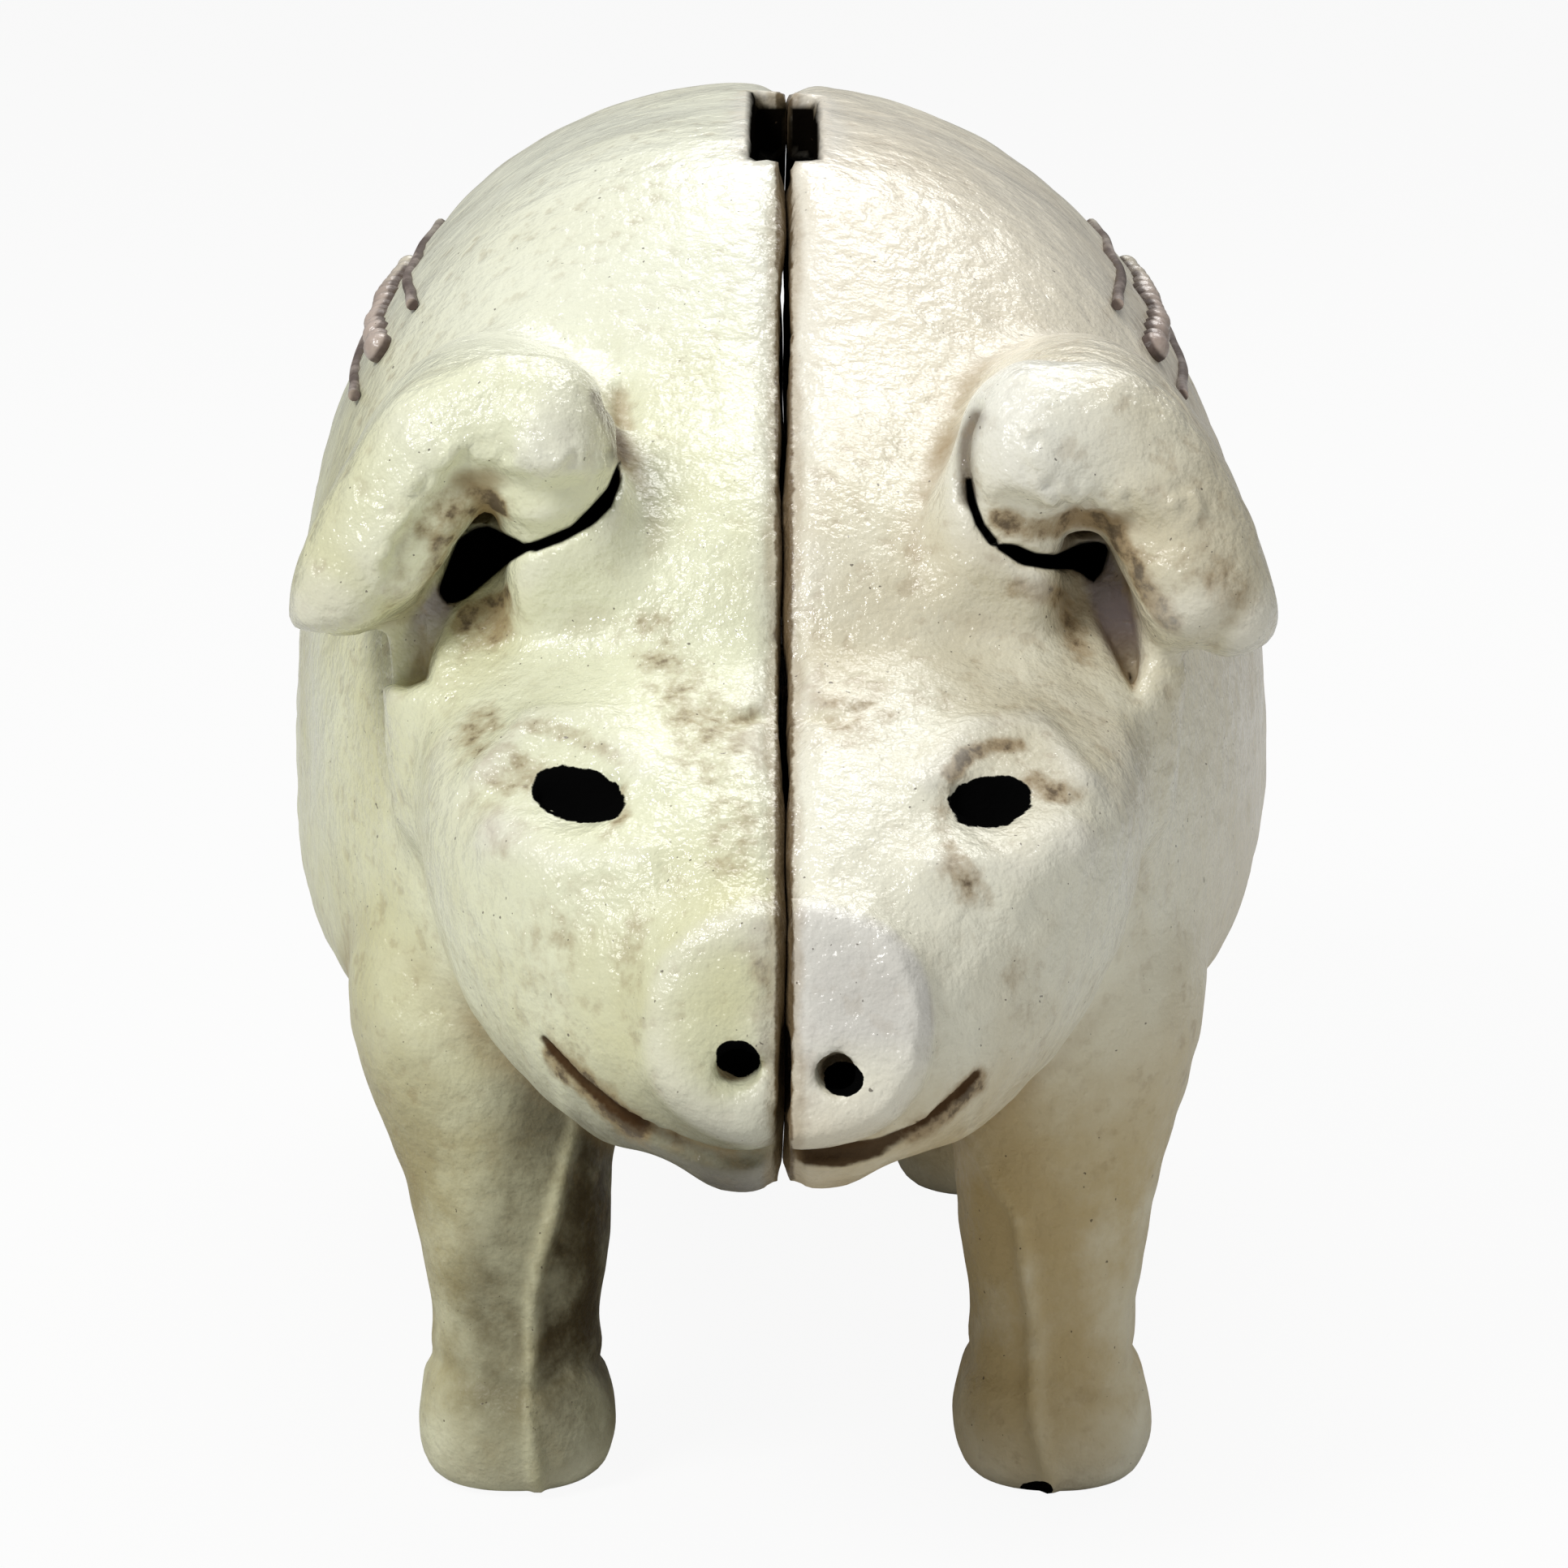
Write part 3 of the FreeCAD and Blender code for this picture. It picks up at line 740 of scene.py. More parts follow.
    def blackened(self, ground: Ground, colour: Socket) -> tuple[Socket, Socket]:
        """Black paint of eyes and nostrils, and black painted shadow in the ears' pockets and notches.

        Args:
            ground: what the paint's steps share.
            colour: the paint so far.

        Returns:
            The new colour, and the mask of black paint and black painted shadow.
        """
        sheet = ground.sheet
        fine = ground.noises[2]
        ragged = sheet.times(sheet.less(fine, 0.5), 0.9)
        # black painted shadow in the pocket under each ear's flap and the notch round its lobe
        black_and_shadow = sheet.between(sheet.attribute("canal"), 0.35, 0.65)
        for spot in self.spots:
            black_and_shadow = sheet.most(black_and_shadow, spot.share(sheet, ragged))
        colour = sheet.mix(black_and_shadow, colour, BLACK_PAINT_AND_SHADOW)
        return colour, black_and_shadow

    def gloss(self, ground: Ground, dirt_and_shade_masks: tuple[Socket, Socket], mouth: Socket, black_and_shadow: Socket) -> None:
        """Varnish that is worn, and matt where there is dirt, black paint or black painted shadow.

        Args:
            ground: what the paint's steps share.
            dirt_and_shade_masks: masks of hollows and of stains with painted shade.
            mouth: the mouth's mask.
            black_and_shadow: the mask of black paint and black painted shadow.
        """
        sheet = ground.sheet
        z = ground.place[2]
        middle = ground.noises[1]
        worn = sheet.plus(0.32, sheet.times(middle, 0.26))
        dirt_and_shade = sheet.most(sheet.most(*dirt_and_shade_masks), mouth)
        rough = sheet.plus(worn, sheet.times(dirt_and_shade, 0.25))
        sheet.put(Roughness=rough)
        matt = sheet.most(black_and_shadow, sheet.attribute("slot"))
        matt = sheet.most(matt, sheet.times(mouth, 0.9))
        matt = sheet.most(matt, sheet.between(z, 14.0, 26.0, 0.65, 0.0))
        sheet.put(Specular_IOR_Level=sheet.between(matt, 0.0, 1.0, 0.5, 0.0))
        coat = sheet.times(sheet.between(z, 24.0, 34.0, 0.35, 1.0), 0.75)
        coat = sheet.times(coat, sheet.between(matt, 0.0, 1.0, 1.0, 0.0))
        coat = sheet.times(coat, sheet.between(dirt_and_shade, 0.1, 0.8, 1.0, 0.15))
        sheet.put(Coat_Weight=coat)
        sheet.put(Coat_Roughness=sheet.between(middle, 0.35, 0.65, 0.07, 0.26))

    def cast_skin(self, ground: Ground) -> None:
        """Pebbly surface of the casting, under the paint and in its varnish."""
        sheet = ground.sheet
        y = ground.place[1]
        pebble = sheet.noise(1.0, 3.0, 0.55, self.shift + 31.0)
        grain = sheet.noise(0.28, 2.0, 0.5, self.shift + 37.0)
        pebble = sheet.times(pebble, sheet.between(y, -34.0, -4.0, 1.0, 0.45))
        normal = sheet.bump(pebble, 0.16)
        normal = sheet.bump(grain, 0.05, normal)
        sheet.put(Normal=normal)
        sheet.put(Coat_Normal=sheet.bump(pebble, 0.55))


@dataclass(frozen=True)
class BareIron:
    """Unpainted inside of a casting: dark scale with rust."""

    name: str = "bare_cast_iron"

    def make(self) -> Material:
        """Builds the material."""
        sheet = Shading(self.name)
        blotch = sheet.noise(3.0, 5.0, 0.65)
        colour = sheet.mix(sheet.between(blotch, 0.40, 0.70), (0.035, 0.030, 0.027), (0.10, 0.045, 0.022))
        sheet.put(Base_Color=colour)
        sheet.put(Metallic=0.35)
        sheet.put(Roughness=sheet.between(blotch, 0.3, 0.8, 0.55, 0.85))
        sheet.put(Normal=sheet.bump(sheet.noise(0.7, 4.0, 0.6, 9.0), 0.35))
        return sheet.material


@dataclass(frozen=True)
class OldSteel:
    """Darkened steel of the screw, with a painted highlight toward the rim of its dome."""

    name: str = "old_screw_steel"

    def make(self) -> Material:
        """Builds the material."""
        sheet = Shading(self.name)
        patch = sheet.noise(1.6, 5.0, 0.65)
        colour = sheet.mix(sheet.between(patch, 0.35, 0.65), (0.23, 0.20, 0.17), (0.085, 0.05, 0.03))
        # painted highlight toward the rim of the dome
        rim_highlight = sheet.between(sheet.attribute("ridge"), 0.05, 0.30)
        colour = sheet.mix(rim_highlight, colour, (0.55, 0.52, 0.48))
        sheet.put(Base_Color=colour)
        sheet.put(Metallic=0.9)
        sheet.put(Roughness=sheet.between(patch, 0.3, 0.75, 0.32, 0.62))
        sheet.put(Normal=sheet.bump(sheet.noise(0.35, 3.0, 0.6, 3.0), 0.05))
        return sheet.material


# ---------------------------------------------------------------------------- helpers
def mesh_object(name: str, points: Array, faces: Array) -> Object:
    """A smooth-shaded mesh object at the origin.

    Args:
        name: the object's name.
        points: places in millimetres.
        faces: rows of point numbers.

    Returns:
        The linked object.
    """
    mesh = bpy.data.meshes.new(name)
    sides = faces.shape[1]
    mesh.vertices.add(len(points))
    mesh.vertices.foreach_set("co", (points * MM).astype(np.float32).ravel())
    mesh.loops.add(faces.size)
    mesh.loops.foreach_set("vertex_index", faces.astype(np.int32).ravel())
    mesh.polygons.add(len(faces))
    mesh.polygons.foreach_set("loop_start", np.arange(0, faces.size, sides, dtype=np.int32))
    mesh.polygons.foreach_set("use_smooth", np.ones(len(faces), bool))
    mesh.update(calc_edges=True)
    mesh.validate()
    return linked(name, mesh)


def places(obj: Object) -> Array:
    """A mesh object's points in millimetres, one a row."""
    flat = np.empty(len(obj.data.vertices) * 3, np.float32)
    obj.data.vertices.foreach_get("co", flat)
    return flat.reshape(-1, 3).astype(np.float64) / MM


def normals(obj: Object) -> Array:
    """A mesh object's point normals, one a row."""
    flat = np.empty(len(obj.data.vertices) * 3, np.float32)
    obj.data.vertices.foreach_get("normal", flat)
    return flat.reshape(-1, 3).astype(np.float64)


def put(obj: Object, points: Array) -> None:
    """Writes a mesh object's points, given in millimetres."""
    obj.data.vertices.foreach_set("co", (points * MM).astype(np.float32).ravel())
    obj.data.update()


def keep(obj: Object, name: str, values: Array) -> None:
    """Keeps one number for each point of a mesh."""
    layer = obj.data.attributes.new(name, "FLOAT", "POINT")
    layer.data.foreach_set("value", np.clip(values, 0.0, 1.0).astype(np.float32))


def evaluated(obj: Object) -> bpy.types.Mesh:
    """An object's geometry behind its modifiers, as a new mesh."""
    seen = bpy.context.evaluated_depsgraph_get()
    return bpy.data.meshes.new_from_object(obj.evaluated_get(seen), depsgraph=seen)


def baked(obj: Object) -> None:
    """Replaces an object's data by its evaluated mesh and drops its modifiers."""
    mesh = evaluated(obj)
    obj.modifiers.clear()
    obj.data = mesh


def linked(name: str, data: bpy.types.ID) -> Object:
    """A new object with this data, in the scene."""
    obj = bpy.data.objects.new(name, data)
    bpy.context.scene.collection.objects.link(obj)
    return obj


def joined(pieces: Sequence[Object]) -> Object:
    """Joins objects into the first of them."""
    with bpy.context.temp_override(active_object=pieces[0], selected_editable_objects=pieces):
        bpy.ops.object.join()
    return pieces[0]


def crisp(obj: Object) -> None:
    """Shades a mesh smooth but for its real edges."""
    obj.data.polygons.foreach_set("use_smooth", [True] * len(obj.data.polygons))
    obj.data.set_sharp_from_angle(angle=math.radians(SHARP_ANGLE))


def rise(value: Array, start: float, width: float) -> Array:
    """0 up to a start, then straight up to 1 over a width."""
    return np.clip((value - start) / width, 0.0, 1.0)


def fall(value: Array, start: float, width: float) -> Array:
    """0 down to a start, then straight up to 1 over a width further down."""
    return np.clip((start - value) / width, 0.0, 1.0)


def falloff(distance: Array, width: float) -> Array:
    """1 at no distance, dying away over a width."""
    return np.exp(-((np.maximum(distance, 0.0) / width) ** 2))


# ---------------------------------------------------------------------------- castings
@dataclass(frozen=True)
class Ear:
    """Shapes of one floppy ear, given for the left side; flat ones are drawn on one upright plane."""

    lobe: tuple[Point, Point] = ((10.6, -32.2, 49.3), (3.1, 4.4, 4.0))
    rim: tuple[tuple[Point, float], ...] = (
        ((12.6, -32.4, 50.5), 3.0), ((15.3, -32.8, 49.0), 2.8), ((17.9, -33.0, 44.7), 2.6),
        ((19.3, -33.2, 43.3), 2.0), ((20.2, -33.2, 42.6), 1.3),
    )
    canal: tuple[Flat, ...] = (
        (11.2, 45.1), (11.8, 45.5), (13.1, 46.1), (13.7, 46.0), (14.4, 45.5), (14.7, 44.8),
        (15.0, 44.0), (15.3, 43.2), (14.9, 42.6), (14.1, 42.9), (13.4, 43.5), (12.2, 44.5),
    )
    notch: tuple[Flat, ...] = (
        (7.25, 49.0), (7.3, 48.0), (7.65, 47.0), (8.45, 46.2), (9.8, 45.45), (11.1, 44.95),
        (11.6, 45.25), (10.8, 45.5), (9.4, 46.1), (8.6, 46.9), (7.8, 47.8), (7.4, 48.8),
    )
    sliver: tuple[Flat, ...] = (
        (15.3, 43.3), (14.8, 42.6), (15.5, 41.2), (16.3, 39.8), (16.8, 39.0), (16.8, 40.4),
        (16.3, 41.9),
    )
    groove: tuple[Flat, ...] = ((8.2, 51.9), (7.8, 51.1), (7.4, 50.3), (7.2, 49.2))
    edge: tuple[Flat, ...] = (
        (18.0, 44.5), (17.0, 46.2), (16.2, 47.6), (15.4, 48.9), (14.1, 49.5), (13.1, 49.7),
        (12.2, 49.2), (10.7, 49.0), (9.3, 49.0), (7.6, 48.9),
    )
    face: tuple[Flat, ...] = (
        (16.6, 44.3), (15.5, 46.3), (14.2, 47.8), (12.4, 47.6), (10.6, 47.3), (9.2, 47.4),
    )
    trim: tuple[Flat, ...] = ()
    temple: tuple[Point, Point] = ((9.6, -37.4, 42.2), (3.6, 3.0, 2.4))
    valley: tuple[tuple[Point, float], ...] = (
        ((14.6, -28.4, 43.0), 1.2),
        ((15.4, -29.8, 40.6), 1.7),
        ((16.0, -31.2, 38.0), 1.9),
        ((16.0, -31.6, 33.0), 1.3),
    )
    plane: float = -35.0
    canal_end: float = -26.8
    notch_end: float = -30.6
    sliver_end: float = -30.9
    trim_end: float = -30.2


@dataclass(frozen=True)
class Stroke:
    """A brushed brown stroke along a line seen from the front, given for the left side: a stain, but
    painted shade where it lies under an ear or over an eye.
    """

    size: float
    strength: float
    line: tuple[Flat, ...]


@dataclass
class HalfCasting:
    """One sculpted half of the pig."""

    side: Side
    node: str
    body: str
    paint: AgedPaint
    screw_axis: Flat
    step: float = FINE_STEP
    eye: Flat = (8.9, 35.9)
    eye_turn: float = 9.0
    crisp: float = 0.3
    slot: Flat = (-8.5, 12.5)
    bulge: float = 0.0
    ear: Ear = field(default_factory=Ear)
    upper_lid: tuple[Flat, ...] = ((-3.0, 0.7), (-0.6, 2.1), (2.0, 2.0), (3.8, 0.4))
    lower_lid: tuple[Flat, ...] = ((-2.6, -2.2), (0.6, -2.6), (3.2, -1.8))
    brow_crease: tuple[Flat, ...] = ((1.0, 38.6), (2.2, 38.5), (3.6, 38.9))
    jaw_hollow: tuple[Point, Point] = ((5.9, -47.0, 18.6), (2.6, 6.0, 2.2))
    nostril: Flat = (1.9, 26.0)
    nostril_size: Point = (0.95, 1.6, 0.74)
    mouth: tuple[Point, ...] = ()
    ridge: tuple[Flat, ...] = ()
    stains_and_shade: tuple[Stroke, ...] = ()
    # strength of the painted highlight on the ear's lobe
    pale: float = 0.0
    pins: tuple[Flat, ...] = ((-41.4, 28.0), (47.0, 35.0))
    pin_clear: float = 1.7
    screw_clear: float = 6.2
    gape: float = 0.195
    ankle: float = 5.6
    slot_lip: float = 59.35

    def across(self, points: Iterable[Point]) -> list[Point]:
        """Points given for the left side, moved to this side."""
        return [(self.side.value * x, y, z) for x, y, z in points]

    def at(self, x: float, y: float, z: float) -> Point:
        """A place given for the left side, moved to this side."""
        return (self.side.value * x, y, z)

    def seen(self, places: Iterable[Flat]) -> list[Flat]:
        """Pairs of X and Z given for the left side, moved to this side."""
        return [(self.side.value * x, z) for x, z in places]

    def model_face(self, clay: Clay) -> None:
        """Jaw, lids, eye, nostril, lips and the crease on the brow."""
        sign = self.side.value
        x, z = self.eye
        clay.egg(self.at(*self.jaw_hollow[0]), self.jaw_hollow[1], 1.0, False)
        skin = clay.front(sign * x, z)
        lid = [(x + a, z + b) for a, b in self.upper_lid]
        clay.cord(clay.on_skin(self.seen(lid), -0.45), [0.1, 0.3, 0.3, 0.1], 2.0)
        under = [(x + a, z + b) for a, b in self.lower_lid]
        clay.cord(clay.on_skin(self.seen(under), -0.6), [0.2, 0.35, 0.2], 2.4)
        tilt = sign * self.eye_turn
        clay.egg((sign * x, skin - 0.1, z), (2.0, 0.35, 1.2), 0.3, False, (-30.0, tilt, sign * 20.0))
        nose_x, nose_z = self.nostril
        hole = clay.front(sign * nose_x, nose_z)
        clay.egg((sign * nose_x, hole, nose_z), self.nostril_size, 0.25, False)
        self.lips = clay.on_skin(self.seen([(x, z) for x, z, _ in self.mouth]), -0.15)
        count = len(self.lips)
        clay.cord(self.lips, [0.5 - 0.3 * n / (count - 1) for n in range(count)], 0.35, False)
        crease = clay.on_skin(self.seen(self.brow_crease), 0.05)
        clay.cord(crease, [0.25, 0.22, 0.05], 0.6, False)

    def model_ear(self, clay: Clay) -> None:
        """Swollen inner lobe, thick rolled rim, and the pocket and creases under the flap."""
        ear = self.ear
        clay.egg(self.at(*ear.temple[0]), ear.temple[1], 1.2, False)
        clay.egg(self.at(*ear.lobe[0]), ear.lobe[1], 0.5)
        for line, soft in ((ear.rim, 1.0), (ear.valley, 3.0)):
            clay.cord(self.across([p for p, _ in line]), [r for _, r in line], soft)
        clay.cord(clay.on_skin(self.seen(ear.face), 0.75), [1.1] * len(ear.face), 0.9, False)
        if ear.trim:
            clay.pocket(self.seen(ear.trim), ear.plane, ear.trim_end, 0.8)
        clay.pocket(self.seen(ear.sliver), ear.plane, ear.sliver_end, 1.0)
        clay.pocket(self.seen(ear.canal), ear.plane, ear.canal_end)
        clay.pocket(self.seen(ear.notch), ear.plane, ear.notch_end)
        count = len(ear.groove)
        clay.cord(clay.on_skin(self.seen(ear.groove), -0.1), [0.3] * count, 0.7, False)

    def soften(self, clay: Clay) -> None:
        """Rounds every joint of the form, except round the screw and the snout's crisp rim."""
        soft = clay.softened(0.8)
        x, y, z = clay.axes()
        screw = np.sqrt((y - self.screw_axis[0]) ** 2 + (z - self.screw_axis[1]) ** 2)
        share = rise(screw, 6.5, 2.0) * np.ones_like(clay.cells)
        snout = fall(y, -50.6, 0.8)
        share *= 1.0 - self.crisp * snout
        off = np.maximum(self.off_slot(x, y), 52.0 - z)
        share *= rise(off, 0.6, 1.5)
        clay.cells += (soft - clay.cells) * share

    def off_slot(self, x: Array, y: Array) -> Array:
        """How far places lie outside the coin slot's outline, seen from above."""
        return np.maximum(np.maximum(self.slot[0] - y, y - self.slot[1]), np.abs(x) - SLOT_HALF)

    def open_seam(self, clay: Clay) -> None:
        """Remakes the rim so that the seam gapes unevenly at the skin and closes inside the wall."""
        sign = self.side.value
        window = clay.window((-2.6, -60.0, -2.0), (2.6, 60.0, 65.0))
        x, y, z = clay.axes(window)
        wander = (
            0.045 * np.sin(0.42 * y + 0.31 * z + sign)
            + 0.035 * np.sin(1.3 * y - 0.9 * z + 2.0 * sign)
            + 0.020 * np.sin(3.1 * y + 2.7 * z)
        )
        course = 0.10 * np.sin(0.23 * z + 0.9) + 0.04 * np.sin(0.9 * z + 0.4 * y)
        muzzle = 0.10 * fall(y, -46.0, 5.0) * fall(z, 31.0, 6.0)
        part = clay.cells[window]
        at = int(round(sign * 0.6 / clay.step)) - clay.start[0] - window[0].start
        rim = part[at : at + 1]
        deep = int(round(sign * 2.4 / clay.step)) - clay.start[0] - window[0].start
        behind = rise(y, 9.0, 3.0)
        shut = np.clip((-part[deep : deep + 1] - 0.65 + 0.4 * behind) / 0.3, 0.0, 1.0)
        gape = self.gape + 0.045 * rise(z, 48.0, 5.0) * fall(y, 8.0, 6.0)
        back = (gape + wander + muzzle) * (1.0 - shut) + 0.01 * shut
        free = np.clip(self.rim_distance(y, z) / 0.5, 0.0, 1.0)
        part = np.where((sign * x < 0.6) & (free > 0.0), rim, part)
        cut = (back + sign * course) * free - sign * x
        clay.cells[window] = np.maximum(part, np.where(free > 0.0, cut, FAR_OUT))

    def rim_distance(self, y: Array, z: Array) -> Array:
        """How far places on the seam lie outside the screw's boss and the two pins."""
        clear = np.sqrt((y - self.screw_axis[0]) ** 2 + (z - self.screw_axis[1]) ** 2) - self.screw_clear
        for back, height in self.pins:
            pin = np.sqrt((y - back) ** 2 + (z - height) ** 2) - self.pin_clear
            clear = np.minimum(clear, pin)
        return clear

    def roughen(self, obj: Object, outside: Array) -> None:
        """Uneven cast skin, parting ridges, crumbly ear edges and ankle grooves.

        Args:
            obj: the meshed casting.
            outside: 1 for points of the outer skin.
        """
        points = places(obj)
        x, y, z = points.T
        way = normals(obj)
        sign = self.side.value
        lift = 0.07 * ripple(points, 9.0, 3 + sign) + 0.030 * ripple(points, 2.2, 7 + sign)
        calm = np.clip((np.abs(x) - 0.3) / 1.5, 0.1, 1.0)
        lift *= calm * outside * np.clip(z / 1.5, 0.0, 1.0)
        # parting ridge down the front and back of each leg
        middle = sign * self.parting(z)
        low = fall(z, 18.0, 3.0)
        wander = 0.18 * ripple(points * (0.0, 0.3, 1.0), 6.0, 21)
        ridge = falloff(np.abs(x - middle - wander), 0.36)
        lift += 0.50 * ridge * low * np.clip(np.abs(way[:, 1]) * 1.6 - 0.5, 0.0, 1.0) * outside
        # crumbly edge of the ear
        across, up = sighted(x * sign, y, z, self.ear.plane)
        edge = [(a, 0.0, b) for a, b in self.ear.edge]
        off = cord_distance(across, 0.0, up, edge, [0.0] * len(edge))
        crumb = falloff(off, 0.65) * fall(y, -32.5, 1.0)
        lift += crumb * outside * (0.12 + 0.16 * ripple(points, 1.3, 31) + 0.10 * ripple(points, 0.8, 37))
        # ankle
        ankle = self.ankle + 0.35 * np.sin(x * 0.9 + y * 0.5)
        lift -= 0.24 * falloff(np.abs(z - ankle), 0.55) * outside
        outer = np.clip(np.abs(x) / 9.0 - 1.0, 0.0, 1.0)
        lift += self.bulge * falloff(np.abs(z - 21.0), 6.5) * outer
        lift *= 1.0 - np.clip((self.shade_of(points) + 0.2) / 0.5, 0.0, 1.0)
        points += way * lift[:, None]
        points[:, 2] = np.maximum(points[:, 2], 0.0)
        put(obj, points)

    def parting(self, height: Array) -> Array:
        """How far out the parting ridge of the leg lies at each height."""
        line = np.array(self.ridge)
        order = np.argsort(line[:, 1])
        return np.interp(height, line[order, 1], line[order, 0])

    def shade_of(self, points: Array) -> Array:
        """How deep places lie in the pocket under the ear or in the notch round its lobe."""
        across, up = sighted(points[:, 0] * self.side.value, points[:, 1], points[:, 2], self.ear.plane)
        canal = -outline_distance(across, up, self.ear.canal)
        notch = -outline_distance(across, up, self.ear.notch)
        near = (points[:, 1] > -42.0) & (points[:, 1] < -22.0)
        return np.where(near, np.maximum(canal, notch), FAR_OUT)

    def mark(self, obj: Object, clay: Clay, soft: Array, inner: "Hollow") -> None:
        """Keeps the numbers that the paint reads.

        Args:
            obj: the meshed casting.
            clay: the clay that it came from.
            soft: the clay's blurred block.
            inner: tells the hollow's skin from the outer skin.
        """
        points = places(obj)
        outside = 1.0 - inner.inside(points + INWARD * normals(obj))
        bend = clay.sample(soft, points) - clay.sample(clay.cells, points)
        keep(obj, "recess", -bend / 0.6)
        # convex places, made lighter by wear and painted highlight
        keep(obj, "ridge", bend / 0.6)
        x, y, z = points.T
        # black painted shadow in the pocket under the ear's flap and in the notch round its lobe
        keep(obj, "canal", (self.shade_of(points) + 0.24) / 0.40)
        # brown stain and painted shade along the mouth's groove
        lips = cord_distance(x, y, z, self.lips, [r for _, _, r in self.mouth])
        keep(obj, "mouth", falloff(lips, 0.34))
        # painted shade: the coin slot's walls black, but for a cream lip at the top of its rear wall
        out = self.off_slot(x, y)
        lip = np.clip((y - self.slot[1] + 0.6) / 0.3, 0.0, 1.0) * rise(z, self.slot_lip, 0.2)
        keep(obj, "slot", (0.22 - np.maximum(out, 53.0 - z)) / 0.2 * (1.0 - lip))
        self.mark_ear(obj, points)
        self.mark_leg(obj, points)
        self.mark_stains_shade_and_highlight(obj, clay, points, outside)
        disc = np.zeros(len(points))
        if self.side is Side.LEFT:
            disc = 0.6 * rise(z, 25.6, 2.0) * fall(y, -51.6, 0.8)
        keep(obj, "disc", disc)

    def mark_ear(self, obj: Object, points: Array) -> None:
        """Keeps the painted shade in the groove over the ear's lobe and in the crease behind its flap."""
        _, y, z = points.T
        across, up = sighted(self.side.value * points[:, 0], y, z, self.ear.plane)
        edge = [(a, 0.0, b) for a, b in self.ear.groove]
        groove = cord_distance(across, 0.0, up, edge, [0.12] * len(edge))
        keep(obj, "groove", 0.85 * falloff(groove, 0.30) * (y > -38.0) * (y < -26.0))
        sliver = outline_distance(across, up, self.ear.sliver)
        fade = np.clip((z - min(c[1] for c in self.ear.sliver)) / 2.4, 0.0, 1.0)
        keep(obj, "crease", 0.85 * falloff(sliver, 0.30) * fade * (y > -38.0) * (y < -22.0))

    def mark_leg(self, obj: Object, points: Array) -> None:
        """Keeps the painted shade on the inner side of each leg, up to its parting ridge."""
        x, _, z = points.T
        side = self.parting(z) - np.abs(x)
        inner = 0.68 * np.clip((side + 4.4) / 2.2, 0.0, 1.0) + 0.32 * np.clip(side / 0.7, 0.0, 1.0)
        inner *= 1.0 - 0.75 * falloff(np.abs(side + 0.1), 0.30)
        keep(obj, "inner", inner * fall(z, 26.0, 6.0) * np.clip((z + 1.0) / 7.0, 0.2, 1.0))

    def mark_stains_shade_and_highlight(self, obj: Object, clay: Clay, points: Array, outside: Array) -> None:
        """Keeps the brushed stains and painted shade, the dirt round the coin slot and the painted
        highlight on the ear's lobe.

        Args:
            obj: the meshed casting.
            clay: the clay that it came from.
            points: the mesh's points.
            outside: 1 for points of the outer skin.
        """
        x, y, z = points.T
        out = self.off_slot(x, y)
        stain = np.zeros(len(points))
        # stains, and painted shade under the ears and over the eyes
        for stroke in self.stains_and_shade:
            line = clay.on_skin(self.seen(stroke.line))
            away = cord_distance(x, y, z, line, [0.0] * len(line))
            dirt_and_shade = stroke.strength * falloff(away - 0.35 * stroke.size, 0.75 * stroke.size)
            stain = np.maximum(stain, dirt_and_shade)
        stain = np.maximum(stain, 0.7 * falloff(out, 0.9) * (z > 54.0))
        keep(obj, "stain", stain * outside)
        # painted highlight on the ear's lobe, fading out where it is stained
        lobe = np.sqrt(sum((points[:, n] - self.at(*self.ear.lobe[0])[n]) ** 2 for n in range(3)))
        keep(obj, "pale", self.pale * falloff(lobe - 3.2, 1.6) * (1.0 - stain))

    def build(self, inner: "Hollow") -> Object:
        """Models, meshes and paints the casting.

        Args:
            inner: tells the hollow's skin from the outer skin.

        Returns:
            The finished piece.
        """
        source = bpy.data.objects[self.node]
        clay = Clay(source, self.step)
        self.soften(clay)
        self.model_face(clay)
        self.model_ear(clay)
        self.open_seam(clay)
        points, faces = clay.surface()
        obj = mesh_object(self.node + "_casting", points.astype(np.float64), faces)
        way = normals(obj)
        hollow = inner.inside(places(obj) + INWARD * way)
        self.roughen(obj, 1.0 - hollow)
        self.lighten(obj, hollow)
        self.mark(obj, clay, clay.softened(1.3), inner)
        self.dress(obj, inner)
        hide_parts(self.node)
        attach(obj, self.body)
        LOG.info("%s: %d faces", obj.name, len(obj.data.polygons))
        return obj

    def lighten(self, obj: Object, hollow: Array) -> None:
        """Thins the mesh, most of all where nobody looks.

        Args:
            obj: the meshed casting.
            hollow: 1 for points of the hollow's skin.
        """
        points = places(obj)
        face = fall(points[:, 1], -22.0, 6.0)
        weight = np.clip(0.35 + 0.45 * hollow - 0.33 * face * (1.0 - hollow), 0.02, 1.0)
        group = obj.vertex_groups.new(name="thin")
        for level in np.unique(np.round(weight, 1)):
            chosen = np.nonzero(np.round(weight, 1) == level)[0]
            group.add([int(n) for n in chosen], float(level), "REPLACE")
        triangles = 2 * len(obj.data.polygons)
        thin = obj.modifiers.new("thin", "DECIMATE")
        thin.ratio = min(1.0, MAX_TRIANGLES / triangles)
        thin.vertex_group = "thin"
        thin.vertex_group_factor = 2.0
        baked(obj)
        obj.vertex_groups.clear()

